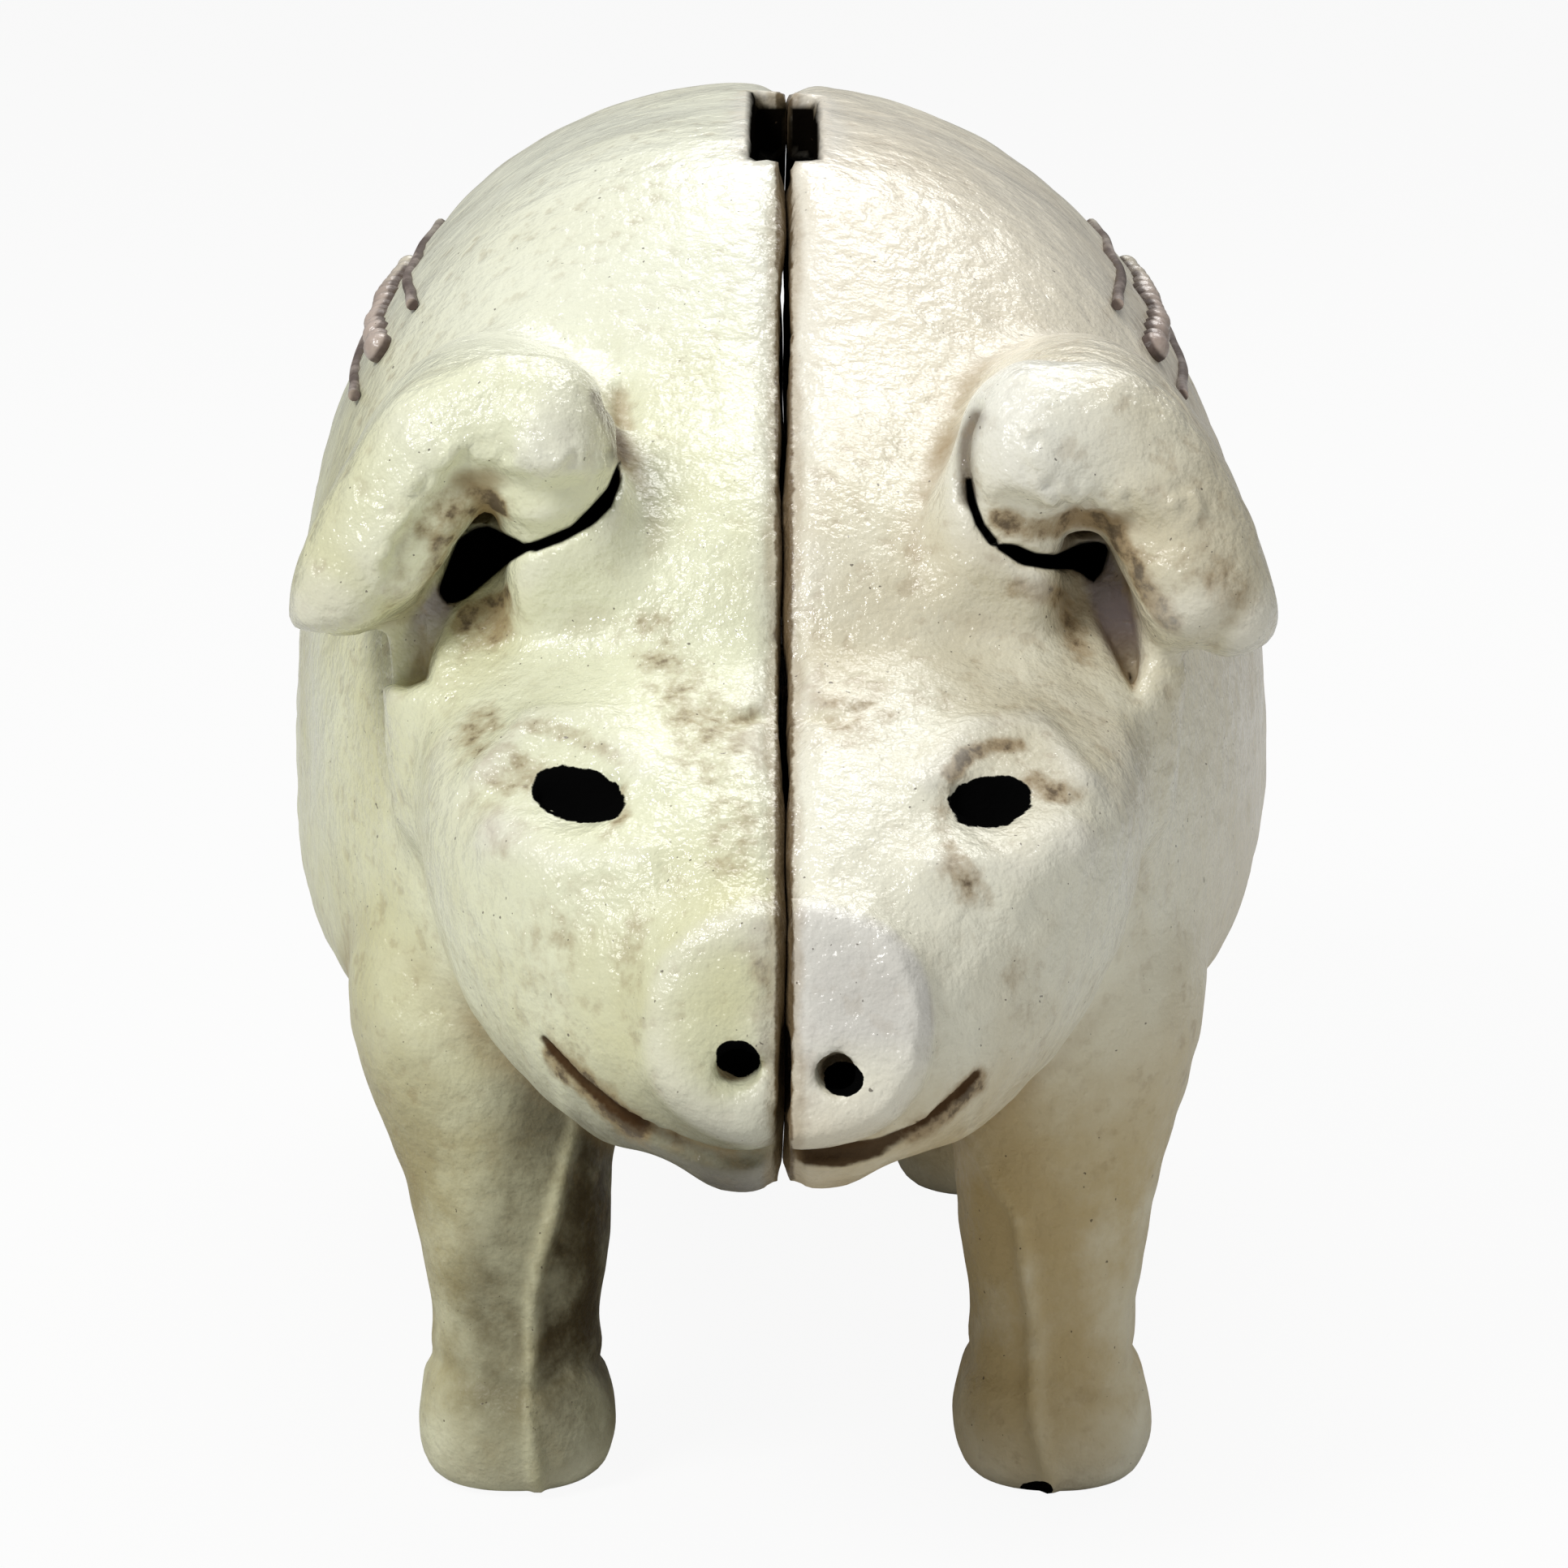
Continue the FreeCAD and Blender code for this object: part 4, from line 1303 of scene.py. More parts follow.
    def dress(self, obj: Object, inner: "Hollow") -> None:
        """Gives the outer skin its paint and the hollow its bare iron."""
        obj.data.materials.clear()
        obj.data.materials.append(self.paint.make())
        obj.data.materials.append(inner.finish)
        count = len(obj.data.polygons)
        middles = np.empty(count * 3, np.float32)
        obj.data.polygons.foreach_get("center", middles)
        facing = np.empty(count * 3, np.float32)
        obj.data.polygons.foreach_get("normal", facing)
        middles = middles.reshape(-1, 3) / MM
        hollow = inner.inside(middles + INWARD * facing.reshape(-1, 3))
        obj.data.polygons.foreach_set("material_index", (hollow > 0.5).astype(np.int32))
        obj.data.polygons.foreach_set("use_smooth", np.ones(count, bool))
        obj.data.update()


@dataclass
class Hollow:
    """The closed space inside the pig, found by flooding the space outside."""

    nodes: Sequence[str]
    slot_box: tuple[Point, Point]
    step: float = 1.0
    finish: Material | None = None
    start: Array = field(default_factory=lambda: np.array([-28, -58, -4]))
    count: tuple[int, int, int] = (57, 117, 70)

    def flood(self) -> None:
        """Finds the cells of the hollow."""
        solid = np.zeros(self.count, bool)
        for node in self.nodes:
            clay = Clay(bpy.data.objects[node], 0.5)
            filled = np.argwhere(clay.cells < 0.1)
            cells = np.floor((filled + clay.start) * clay.step / self.step).astype(int) - self.start
            solid[tuple(cells.T)] = True
        low, high = (np.array(c) / self.step - self.start for c in self.slot_box)
        low, high = low.astype(int), np.ceil(high).astype(int)
        solid[low[0] : high[0], low[1] : high[1], low[2] : high[2]] = True
        open_air = np.zeros_like(solid)
        open_air[0] = True
        while True:
            grown = open_air.copy()
            for axis in range(3):
                ahead = [slice(None)] * 3
                behind = [slice(None)] * 3
                ahead[axis], behind[axis] = slice(1, None), slice(None, -1)
                grown[tuple(ahead)] |= open_air[tuple(behind)]
                grown[tuple(behind)] |= open_air[tuple(ahead)]
            grown &= ~solid
            grown[0] = True
            if (grown == open_air).all():
                break
            open_air = grown
        self.cells = ~solid & ~open_air

    def inside(self, points: Array) -> Array:
        """1 for places in the hollow.

        Args:
            points: places in millimetres.

        Returns:
            1 or 0 for each place.
        """
        cells = np.floor(points / self.step).astype(int) - self.start
        cells = np.clip(cells, 0, np.array(self.count) - 1)
        return self.cells[tuple(cells.T)].astype(np.float64)


# ---------------------------------------------------------------------------- screw
class Tree:
    """Builds one Geometry Nodes tree with named number inputs."""

    def __init__(self, name: str, numbers: dict[str, float]) -> None:
        """Starts a tree.

        Args:
            name: the tree's name.
            numbers: input name to its first value; a whole number makes a whole-number input.
        """
        self.tree = bpy.data.node_groups.new(name, "GeometryNodeTree")
        face = self.tree.interface
        face.new_socket("Geometry", in_out="INPUT", socket_type="NodeSocketGeometry")
        face.new_socket("Geometry", in_out="OUTPUT", socket_type="NodeSocketGeometry")
        for label, value in numbers.items():
            kind = "NodeSocketInt" if isinstance(value, int) else "NodeSocketFloat"
            socket = face.new_socket(label, in_out="INPUT", socket_type=kind)
            socket.default_value = value
        self.start = self.tree.nodes.new("NodeGroupInput")
        self.end = self.tree.nodes.new("NodeGroupOutput")

    def add(self, kind: str, **inputs: object) -> bpy.types.Node:
        """Adds a node, links or sets its inputs by name, and returns it."""
        node = self.tree.nodes.new(kind)
        for label, value in inputs.items():
            name = label.replace("_", " ")
            if isinstance(value, Socket):
                self.tree.links.new(value, node.inputs[name])
            else:
                node.inputs[name].default_value = value
        return node

    def sweep(
        self, curve: Socket, sides: int, radius: Socket
    ) -> Socket:
        """A capped tube along a curve."""
        ring = self.add("GeometryNodeCurvePrimitiveCircle", Resolution=sides, Radius=radius)
        tube = self.add(
            "GeometryNodeCurveToMesh", Curve=curve, Profile_Curve=ring.outputs[0], Fill_Caps=True
        )
        return tube.outputs[0]

    def finish(self, geometry: Socket, material: Material) -> None:
        """Realizes, dresses and puts out the geometry."""
        real = self.add("GeometryNodeRealizeInstances", Geometry=geometry)
        dress = self.add("GeometryNodeSetMaterial", Geometry=real.outputs[0], Material=material)
        self.tree.links.new(dress.outputs[0], self.end.inputs[0])

    def run(self, obj: Object, values: dict[str, float]) -> None:
        """Runs the tree on an object with these input values and bakes the result.

        Args:
            obj: the object whose geometry goes in.
            values: input name to value.
        """
        step = obj.modifiers.new(self.tree.name, "NODES")
        step.node_group = self.tree
        for item in self.tree.interface.items_tree:
            if item.item_type == "SOCKET" and item.in_out == "INPUT" and item.name in values:
                step[item.identifier] = values[item.name]
        baked_as_mesh(obj)


def baked_as_mesh(obj: Object) -> None:
    """Turns an object's evaluated geometry into its own plain mesh."""
    mesh = evaluated(obj)
    name = obj.name
    bpy.data.objects.remove(obj)
    linked(name, mesh)


def screw_box() -> tuple[Vector, Vector, tuple[float, float]]:
    """Low and high corner of the clamp screw's solid, and its axis as Y and Z, in millimetres."""
    low, high = (Vector(c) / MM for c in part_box("clamp_screw"))
    return low, high, ((low.y + high.y) / 2.0, (low.z + high.z) / 2.0)


@dataclass
class ClampScrew:
    """Slotted screw with a domed head, lying across the pig."""

    node: str = "clamp_screw"
    body: str = "screw"
    pitch: float = 0.794
    thread_depth: float = 0.42
    head_height: float = 2.6
    edge_height: float = 1.4
    slot_width: float = 1.1
    slot_depth: float = 1.3

    def build(self) -> Object:
        """Builds the screw from its solid's own box.

        Returns:
            The finished piece.
        """
        low, high, axis = screw_box()
        head_radius = (high.y - low.y) / 2.0
        seat = high.x - self.head_height
        finish = OldSteel().make()
        head = self.head(seat, head_radius)
        shank = self.shank(low.x, seat)
        thread = self.thread(low.x, seat, finish)
        for part in (head, shank, thread):
            part.data.transform(Matrix.Translation((0.0, axis[0] * MM, axis[1] * MM)))
        joined([head, shank, thread])
        head.name = "slotted_clamp_screw"
        head.data.materials.clear()
        head.data.materials.append(finish)
        head.data.polygons.foreach_set("material_index", [0] * len(head.data.polygons))
        points = places(head)
        out = np.sqrt((points[:, 1] - axis[0]) ** 2 + (points[:, 2] - axis[1]) ** 2)
        # painted highlight toward the rim of the dome
        crown = np.clip((points[:, 0] - seat - self.edge_height + 0.2) / 0.5, 0.0, 1.0)
        keep(head, "ridge", 0.5 * crown * np.clip(out / head_radius, 0.2, 1.0))
        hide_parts(self.node)
        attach(head, self.body)
        LOG.info("%s: %d faces", head.name, len(head.data.polygons))
        return head

    def lathe(self, name: str, profile: Sequence[Flat], sides: int) -> Object:
        """A solid of revolution about X.

        Args:
            name: the object's name.
            profile: pairs of X and radius, in order; the ends are closed.
            sides: facets round.

        Returns:
            The object.
        """
        points = []
        faces = []
        for x, radius in profile:
            for n in range(sides):
                turn = 2.0 * math.pi * n / sides
                points.append((x, radius * math.cos(turn), radius * math.sin(turn)))
        for ring in range(len(profile) - 1):
            for n in range(sides):
                a = ring * sides + n
                b = ring * sides + (n + 1) % sides
                faces.append((a, b, b + sides, a + sides))
        mesh = bpy.data.meshes.new(name)
        ends = [tuple(range(sides - 1, -1, -1)), tuple(range(len(points) - sides, len(points)))]
        mesh.from_pydata([tuple(c * MM for c in p) for p in points], [], faces + ends)
        form = bmesh.new()
        form.from_mesh(mesh)
        bmesh.ops.recalc_face_normals(form, faces=form.faces)
        form.to_mesh(mesh)
        form.free()
        return linked(name, mesh)

    def head(self, seat: float, radius: float) -> Object:
        """Domed head with its driver slot cut in."""
        dome = self.head_height - self.edge_height
        profile = [(seat, radius - 0.15), (seat + 0.15, radius), (seat + self.edge_height, radius)]
        for n in range(1, 10):
            turn = math.pi / 2.0 * n / 10
            along = seat + self.edge_height + dome * math.sin(turn)
            profile.append((along, radius * math.cos(turn) ** 0.8))
        head = self.lathe("head", profile, 72)
        cutter = self.lathe("cutter", [(0.0, 1.0), (1.0, 1.0)], 4)
        top = seat + self.head_height
        half = self.slot_width / 2.0
        for vertex in cutter.data.vertices:
            x, y, z = vertex.co / MM
            place = top - self.slot_depth if x < 0.5 else top + 1.0
            vertex.co = Vector((place, math.copysign(half, y + z), math.copysign(2.0 * radius, z - y))) * MM
        cut = head.modifiers.new("slot", "BOOLEAN")
        cut.operation = "DIFFERENCE"
        cut.object = cutter
        cut.solver = "EXACT"
        baked(head)
        bpy.data.objects.remove(cutter)
        crisp(head)
        return head

    def shank(self, tip: float, seat: float) -> Object:
        """Core of the screw under its thread."""
        core = THREAD_RADIUS - self.thread_depth
        profile = [(tip, core - 0.5), (tip + 0.6, core), (seat + 0.05, core)]
        shank = self.lathe("shank", profile, 40)
        crisp(shank)
        return shank

    def thread(self, tip: float, seat: float, finish: Material) -> Object:
        """Helical thread made by Geometry Nodes.

        Args:
            tip: X of the screw's tip.
            seat: X of the head's underside.
            finish: the screw's material.

        Returns:
            The thread as a plain mesh along X.
        """
        sizes = {"Turns": 10.0, "Length": 0.01, "Core Radius": 0.002, "Tooth Radius": 0.0004}
        tree = Tree("screw_thread", sizes)
        ins = tree.start.outputs
        spiral = tree.add(
            "GeometryNodeCurveSpiral",
            Resolution=32,
            Rotations=ins["Turns"],
            Start_Radius=ins["Core Radius"],
            End_Radius=ins["Core Radius"],
            Height=ins["Length"],
        )
        tree.finish(tree.sweep(spiral.outputs[0], 4, ins["Tooth Radius"]), finish)
        length = seat - tip - 1.2
        obj = mesh_object("thread", np.zeros((3, 3)), np.array([[0, 1, 2]]))
        tree.run(
            obj,
            {
                "Turns": length / self.pitch,
                "Length": length * MM,
                "Core Radius": (THREAD_RADIUS - self.thread_depth) * MM,
                "Tooth Radius": self.thread_depth * MM,
            },
        )
        thread = bpy.data.objects["thread"]
        thread.data.transform(Matrix.Rotation(math.radians(90.0), 4, "Y"))
        thread.data.transform(Matrix.Translation(((tip + 0.5) * MM, 0.0, 0.0)))
        return thread


# ---------------------------------------------------------------------------- flank band
@dataclass
class FlankBand:
    """A raised bead-and-rail band on one flank, a generic border."""

    side: Side
    body: str
    host: Object
    finish: Material
    start: float = -8.0
    length: float = 30.0
    height: float = 50.0
    half_width: float = 2.2
    bead: float = 0.75
    beads: int = 15
    rail: float = 0.30
    samples: int = 41
    proud: float = 0.10

    def line(self, lift: float, tree: BVHTree) -> list[Vector]:
        """Points on the flank at one height.

        Args:
            lift: height above the band's middle line.
            tree: the casting's surface.

        Returns:
            Points in metres.
        """
        points = []
        for n in range(self.samples):
            y = self.start + self.length * n / (self.samples - 1)
            start = Vector((self.side.value * 60.0, y, self.height + lift)) * MM
            hit = tree.ray_cast(start, Vector((-self.side.value, 0.0, 0.0)))[0]
            points.append(hit)
        depths = [point.x for point in points]
        for n, point in enumerate(points):
            near = depths[max(0, n - 5) : n + 6]
            point.x = sum(near) / len(near) + self.side.value * self.proud * MM
        return points

    def curve(self, name: str, points: Sequence[Vector]) -> Object:
        """A plain open curve object through points."""
        data = bpy.data.curves.new(name, "CURVE")
        data.dimensions = "3D"
        spline = data.splines.new("POLY")
        spline.points.add(len(points) - 1)
        for spot, point in zip(spline.points, points):
            spot.co = (*point, 1.0)
        return linked(name, data)

    def rail_tree(self) -> Tree:
        """A round rail swept along a curve."""
        tree = Tree("band_rail", {"Radius": 0.0004})
        ins = tree.start.outputs
        sweep = tree.sweep(ins["Geometry"], 10, ins["Radius"])
        smooth = tree.add("GeometryNodeSetShadeSmooth", Geometry=sweep)
        tree.finish(smooth.outputs[0], self.finish)
        return tree

    def bead_tree(self) -> Tree:
        """Beads spaced along a curve, each a little unlike the next."""
        tree = Tree("band_beads", {"Count": 12, "Radius": 0.001, "Seed": 4})
        ins = tree.start.outputs
        spaced = tree.add("GeometryNodeResampleCurve", Curve=ins["Geometry"], Count=ins["Count"])
        ball = tree.add("GeometryNodeMeshIcoSphere", Radius=ins["Radius"], Subdivisions=3)
        odd = tree.add("FunctionNodeRandomValue", Seed=ins["Seed"])
        odd.data_type = "FLOAT"
        odd.inputs[2].default_value = 0.86
        odd.inputs[3].default_value = 1.08
        rows = tree.add(
            "GeometryNodeInstanceOnPoints", Points=spaced.outputs[0], Instance=ball.outputs[0]
        )
        tree.tree.links.new(odd.outputs[1], rows.inputs["Scale"])
        real = tree.add("GeometryNodeRealizeInstances", Geometry=rows.outputs[0])
        smooth = tree.add("GeometryNodeSetShadeSmooth", Geometry=real.outputs[0])
        tree.finish(smooth.outputs[0], self.finish)
        return tree

    def build(self) -> Object:
        """Lays the band on the casting.

        Returns:
            The finished piece.
        """
        tree = BVHTree.FromObject(self.host, bpy.context.evaluated_depsgraph_get())
        rails = self.rail_tree()
        beads = self.bead_tree()
        names = []
        for label, lift in (("upper", self.half_width), ("lower", -self.half_width)):
            name = f"{self.side.name.lower()}_{label}_rail"
            rails.run(self.curve(name, self.line(lift, tree)), {"Radius": self.rail * MM})
            names.append(name)
        name = f"{self.side.name.lower()}_flank_band"
        middle = self.line(0.0, tree)[1:-1]
        beads.run(self.curve(name, middle), {"Count": self.beads, "Radius": self.bead * MM})
        band = bpy.data.objects[name]
        joined([band] + [bpy.data.objects[n] for n in names])
        gap = np.array([tree.find_nearest(Vector(p * MM))[3] / MM for p in places(band)])
        for label in ("recess", "stain"):
            keep(band, label, 0.9 - 1.6 * gap)
        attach(band, self.body)
        LOG.info("%s: %d faces", band.name, len(band.data.polygons))
        return band


# ---------------------------------------------------------------------------- studio
@dataclass(frozen=True)
class Lamp:
    """A soft square lamp: name, place and edge in millimetres, and watts."""

    name: str
    place: Point
    size: float
    power: float

    def build(self, aim: Point) -> None:
        """Stands the lamp up and points it at a place in millimetres."""
        data = bpy.data.lights.new(self.name, "AREA")
        data.size = self.size * MM
        data.energy = self.power
        obj = linked(self.name, data)
        obj.location = Vector(self.place) * MM
        way = Vector(aim) - Vector(self.place)
        obj.rotation_euler = way.to_track_quat("-Z", "Y").to_euler()


@dataclass(frozen=True)
class Studio:
    """Pale floor, soft lamps and the camera."""

    lens: float = 158.4
    sensor: float = 36.0
    camera: Point = FRONT
    pitch: float = 12.0
    aim: Point = (0.0, -10.0, 35.0)
    floor_edge: float = 3000.0
    floor_colour: Colour = (0.60, 0.60, 0.585)
    floor_glow: float = 0.93
    air_strength: float = 0.26
    lamps: tuple[Lamp, ...] = (
        Lamp("key", (-230.0, -260.0, 360.0), 150.0, 1.48),
        Lamp("fill", (330.0, -300.0, 160.0), 320.0, 0.22),
        Lamp("back", (50.0, 200.0, 400.0), 240.0, 0.95),
    )

    def floor(self) -> None:
        """A wide pale floor that keeps the pig's shadow and shows white."""
        edge = self.floor_edge
        corners = np.array([(-edge, -edge, 0.0), (edge, -edge, 0.0), (edge, edge, 0.0), (-edge, edge, 0.0)])
        obj = mesh_object("studio_floor", corners, np.array([[0, 1, 2, 3]]))
        sheet = Shading("studio_floor")
        sheet.put(Base_Color=self.floor_colour, Roughness=0.9)
        path = sheet.nodes.new("ShaderNodeLightPath")
        glow = sheet.nodes.new("ShaderNodeEmission")
        mixed = sheet.nodes.new("ShaderNodeMixShader")
        sheet.set(mixed.inputs[0], sheet.times(path.outputs["Is Camera Ray"], self.floor_glow))
        sheet.links.new(sheet.shader.outputs[0], mixed.inputs[1])
        sheet.links.new(glow.outputs[0], mixed.inputs[2])
        sheet.links.new(mixed.outputs[0], sheet.nodes["Material Output"].inputs["Surface"])
        obj.data.materials.append(sheet.material)

    def air(self) -> None:
        """Even white surroundings: plain light, and white where they are seen."""
        world = bpy.data.worlds.new("studio_air")
        bpy.context.scene.world = world
        world.use_nodes = True
        tree = world.node_tree
        plain = tree.nodes["Background"]
        plain.inputs["Color"].default_value = (1.0, 1.0, 1.0, 1.0)
        plain.inputs["Strength"].default_value = self.air_strength
        white = tree.nodes.new("ShaderNodeBackground")
        white.inputs["Strength"].default_value = 1.0
        path = tree.nodes.new("ShaderNodeLightPath")
        mixed = tree.nodes.new("ShaderNodeMixShader")
        tree.links.new(path.outputs["Is Camera Ray"], mixed.inputs[0])
        tree.links.new(plain.outputs[0], mixed.inputs[1])
        tree.links.new(white.outputs[0], mixed.inputs[2])
        tree.links.new(mixed.outputs[0], tree.nodes["World Output"].inputs["Surface"])

    def build(self) -> None:
        """Sets up floor, lamps, surroundings and camera."""
        self.floor()
        self.air()
        for lamp in self.lamps:
            lamp.build(self.aim)
        data = bpy.data.cameras.new("camera")
        data.lens = self.lens
        data.sensor_width = self.sensor
        data.clip_start = 0.01
        camera = linked("camera", data)
        camera.location = Vector(self.camera) * MM
        camera.rotation_euler = (math.radians(90.0 - self.pitch), 0.0, 0.0)
        bpy.context.scene.camera = camera
        bpy.context.scene.view_settings.view_transform = "Standard"


# ---------------------------------------------------------------------------- the pig
# The halves' creams differ in hue partly as painted light: greener on the lit right half, pinker on the
# shaded left half.
RIGHT_PAINT = AgedPaint(
    name="aged_cream_paint_right",
    cream=(0.79, 0.80, 0.58),
    shade=(0.66, 0.645, 0.39),
    leg=(0.36, 0.305, 0.150),
    # painted shade on the legs' inner sides
    inner=(0.042, 0.028, 0.007),
    soil_and_shade=(0.30, 0.215, 0.095),
    disc=(0.66, 0.66, 0.62),
    # painted highlight on the top of the back
    back=(0.85, 0.86, 0.73),
    back_rise=(42.0, 54.0),
    spots=(
        OvalSpot((-8.9, 36.1), (1.98, 1.16), -14.0, (-48.0, -41.0), -45.0),
        OvalSpot((-1.95, 26.4), (0.93, 0.74), -12.0, (-60.0, -48.0), -53.0),
    ),
    shift=0.0,
)
LEFT_PAINT = AgedPaint(
    name="aged_cream_paint_left",
    cream=(0.83, 0.81, 0.66),
    shade=(0.66, 0.60, 0.43),
    leg=(0.53, 0.42, 0.22),
    # painted shade on the legs' inner sides
    inner=(0.50, 0.38, 0.185),
    soil_and_shade=(0.31, 0.215, 0.105),
    disc=(0.62, 0.60, 0.60),
    # painted shade over the shaded flank
    back=(0.79, 0.71, 0.56),
    back_rise=(10.0, 24.0),
    spots=(
        OvalSpot((8.9, 35.8), (1.74, 1.10), 7.0, (-48.0, -41.0), -45.0),
        OvalSpot((2.5, 25.5), (0.80, 0.74), 0.0, (-60.0, -48.0), -53.0),
        OvalSpot((11.7, -0.1), (0.75, 0.45), 0.0, (-38.0, -20.0), -30.0),
    ),
    shift=57.0,
)


BAND_PAINT = AgedPaint(
    name="antiqued_band_paint",
    cream=(0.50, 0.41, 0.35),
    shade=(0.27, 0.20, 0.17),
    leg=(0.2, 0.15, 0.1),
    inner=(0.2, 0.15, 0.1),
    soil_and_shade=(0.07, 0.045, 0.035),
    disc=(0.5, 0.5, 0.5),
    back=(0.50, 0.41, 0.35),
    back_rise=(90.0, 99.0),
    spots=(),
    shift=23.0,
)


LEFT_EAR = Ear(
    lobe=((11.2, -32.2, 49.1), (3.4, 4.4, 4.0)),
    rim=(
        ((13.6, -32.4, 49.4), 3.5), ((15.9, -32.8, 47.6), 2.9), ((17.1, -33.0, 45.3), 2.6),
        ((18.2, -33.2, 43.0), 2.6), ((19.8, -33.2, 41.9), 1.7),
    ),
    canal=(
        (9.2, 45.3), (10.2, 45.3), (11.1, 44.9), (12.0, 44.8), (13.1, 45.3), (13.9, 45.4),
        (14.4, 45.2), (14.1, 44.1), (13.7, 43.6), (13.2, 44.0), (12.8, 44.2), (11.7, 44.2),
        (10.5, 44.4),
    ),
    notch=(
        (8.05, 48.2), (8.15, 47.2), (8.5, 46.2), (9.1, 45.3), (9.5, 45.4), (8.85, 46.2),
        (8.45, 47.3), (8.25, 48.3),
    ),
    sliver=(
        (13.4, 45.0), (13.8, 45.3), (14.3, 44.8), (15.0, 43.0), (15.4, 41.8), (15.7, 40.2),
        (15.6, 38.7), (15.1, 39.5), (14.6, 40.6), (14.1, 42.0), (13.6, 43.4),
    ),
    groove=((8.5, 51.0), (8.1, 50.2), (8.0, 49.4), (8.05, 48.4), (8.2, 47.4)),
    edge=(
        (11.1, 50.1), (11.1, 48.6), (11.6, 47.8), (12.9, 47.3), (14.4, 47.1), (15.6, 47.4),
        (16.8, 47.5), (18.1, 47.0),
    ),
    face=((10.2, 46.6), (11.6, 46.1), (13.2, 45.9), (14.8, 45.9), (16.2, 45.6)),
)


# Brushed brown strokes: stains, with painted shade in the strokes under the ears and over the eyes.
RIGHT_STAINS_AND_SHADE = (
    Stroke(1.7, 0.50, ((5.9, 41.0), (4.8, 40.2), (3.8, 38.8), (3.4, 37.0))),
    Stroke(1.6, 0.45, ((1.6, 38.6), (2.0, 36.4), (2.4, 34.2))),
    Stroke(1.3, 0.60, ((13.6, 37.8), (12.8, 36.6), (11.4, 36.4))),
    Stroke(1.1, 0.48, ((13.2, 35.4), (12.4, 34.4), (11.6, 34.6))),
    Stroke(0.5, 0.60, ((11.6, 38.0), (10.0, 38.1), (8.4, 37.8), (7.2, 37.2))),
    Stroke(0.4, 0.55, ((6.8, 36.4), (6.9, 35.4), (7.6, 34.8))),
    Stroke(0.6, 0.90, ((12.2, 42.5), (13.2, 42.0), (14.2, 41.6), (14.6, 41.0))),
    Stroke(1.4, 0.50, ((12.6, 41.6), (13.6, 40.6))),
    Stroke(0.6, 1.00, ((12.6, 46.9), (13.2, 47.2))),
    Stroke(0.9, 0.70, ((13.8, 47.0), (14.8, 46.0), (15.4, 44.8), (15.9, 43.4))),
    Stroke(1.0, 0.45, ((15.2, 47.0), (16.4, 44.8), (17.2, 42.8))),
    Stroke(1.1, 1.0, ((6.4, 22.9), (7.6, 23.6), (8.8, 24.7), (9.6, 25.2))),
    Stroke(0.8, 0.40, ((1.4, 21.9), (3.2, 21.9), (5.0, 22.6))),
    Stroke(0.5, 0.50, ((1.0, 32.0), (1.0, 27.0), (1.0, 22.6))),
    Stroke(1.6, 0.28, ((9.4, 31.8), (10.6, 29.2), (9.8, 27.0))),
    Stroke(1.2, 0.26, ((6.0, 31.4), (6.6, 29.4))),
)
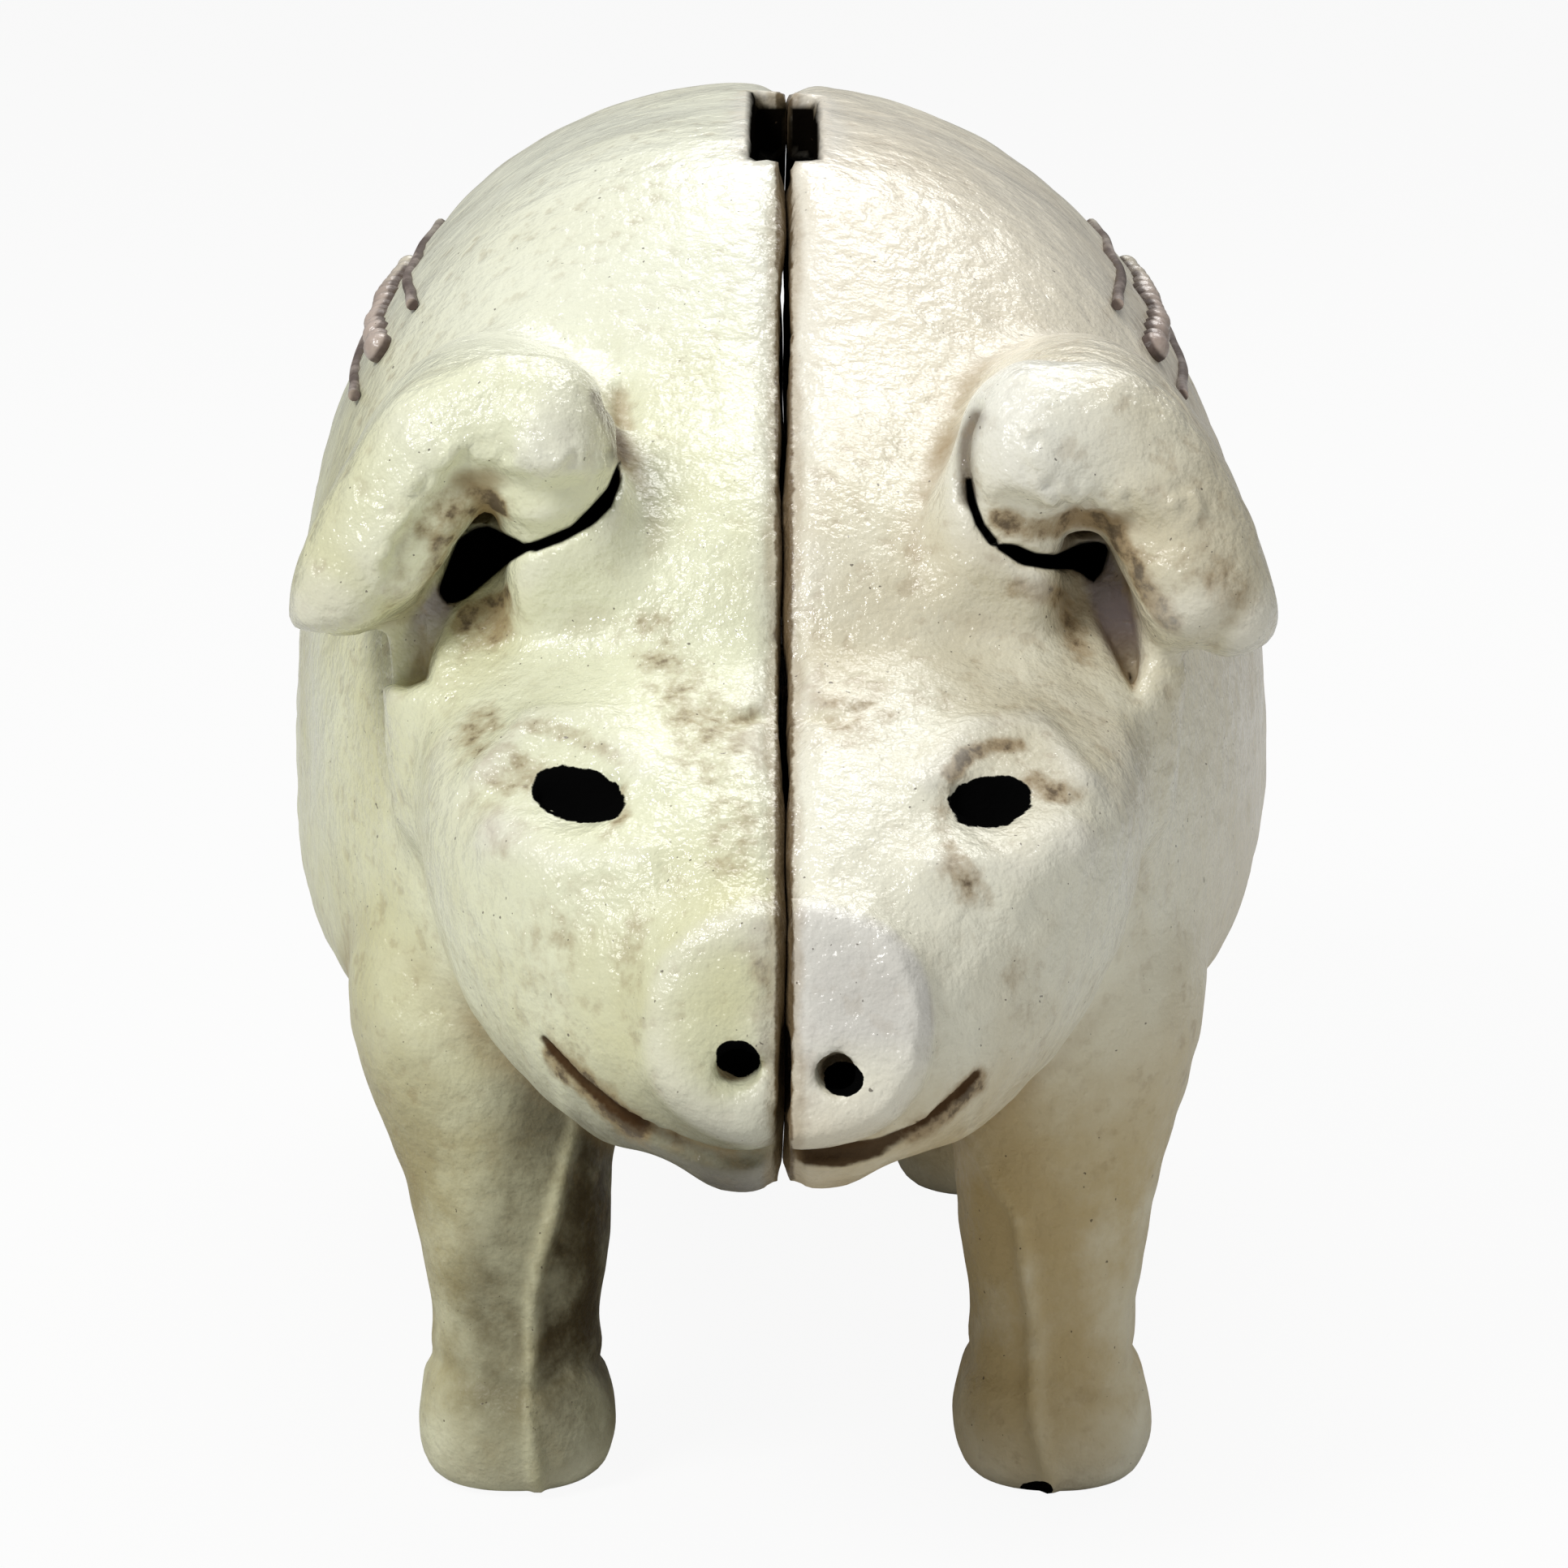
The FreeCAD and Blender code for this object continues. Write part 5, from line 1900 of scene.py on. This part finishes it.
LEFT_STAINS_AND_SHADE = (
    Stroke(1.5, 0.46, ((5.6, 39.4), (4.2, 38.9), (3.0, 38.2))),
    Stroke(0.5, 0.60, ((1.0, 39.4), (1.8, 38.9), (3.0, 38.8))),
    Stroke(0.45, 1.00, ((7.2, 36.8), (8.0, 37.4), (9.2, 37.6), (10.2, 37.4))),
    Stroke(0.7, 0.85, ((10.9, 36.2), (11.8, 35.6), (12.3, 35.8))),
    Stroke(0.5, 0.50, ((7.0, 36.2), (6.8, 35.0), (7.4, 33.8))),
    Stroke(0.8, 0.62, ((7.4, 33.9), (8.0, 33.0), (8.5, 32.4))),
    Stroke(0.6, 0.90, ((10.4, 43.2), (11.6, 42.9), (12.6, 42.2))),
    Stroke(0.8, 0.70, ((12.4, 42.4), (13.0, 41.2), (13.4, 39.9))),
    Stroke(0.7, 0.85, ((9.6, 46.4), (11.0, 45.9), (12.4, 46.0), (13.8, 46.3), (14.8, 45.8))),
    Stroke(0.7, 1.00, ((14.9, 45.2), (15.5, 44.0), (16.3, 42.8), (17.0, 41.9))),
    Stroke(1.3, 0.45, ((18.8, 44.6), (20.2, 42.8))),
    Stroke(0.9, 1.0, ((5.8, 22.8), (6.8, 23.5), (8.0, 24.6))),
    Stroke(0.4, 0.50, ((1.0, 24.0), (1.0, 28.0))),
    Stroke(1.6, 0.28, ((9.4, 31.0), (10.4, 28.0))),
)


def main() -> None:
    """Builds every piece and reports it."""
    logging.basicConfig(level=logging.INFO, format="%(message)s")
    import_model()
    axis = screw_box()[2]
    hollow = Hollow(("right_half", "left_half"), ((-2.0, -9.0, 54.0), (2.0, 13.0, 62.0)))
    hollow.flood()
    hollow.finish = BareIron().make()
    step = FINE_STEP
    right = HalfCasting(
        Side.RIGHT,
        "right_half",
        "right_casting",
        RIGHT_PAINT,
        axis,
        step=step,
        mouth=(
            (0.9, 21.5, 0.06), (2.4, 21.5, 0.04), (4.0, 21.9, 0.08), (5.6, 22.5, 0.16),
            (7.2, 23.3, 0.20), (8.8, 24.4, 0.10), (10.2, 25.9, 0.01),
        ),
        ear=Ear(trim=((22.8, 41.3), (18.1, 41.3), (16.9, 41.7), (16.2, 42.0), (15.9, 39.2), (22.8, 39.2))),
        bulge=0.8,
        crisp=0.1,
        ridge=((9.6, 17.5), (9.9, 16.3), (11.0, 12.5), (11.6, 9.5), (11.6, 0.5)),
        stains_and_shade=RIGHT_STAINS_AND_SHADE,
    )
    left = HalfCasting(
        Side.LEFT,
        "left_half",
        "left_casting",
        LEFT_PAINT,
        axis,
        step=step,
        eye=(8.9, 35.65),
        eye_turn=-6.0,
        nostril=(2.5, 25.5),
        mouth=(
            (0.9, 21.9, 0.40), (2.6, 21.8, 0.44), (4.0, 21.9, 0.26), (5.8, 22.8, 0.02),
            (7.0, 23.7, 0.04), (8.2, 24.8, 0.01),
        ),
        ear=LEFT_EAR,
        crisp=0.9,
        ridge=((8.0, 17.5), (9.2, 15.5), (10.6, 13.4), (11.3, 9.5), (12.0, 1.0)),
        stains_and_shade=LEFT_STAINS_AND_SHADE,
        pale=0.75,
    )
    band_finish = BAND_PAINT.make()
    for half in (right, left):
        piece = half.build(hollow)
        FlankBand(half.side, half.body, piece, band_finish).build()
    ClampScrew().build()
    Studio().build()


if __name__ == "__main__":
    main()
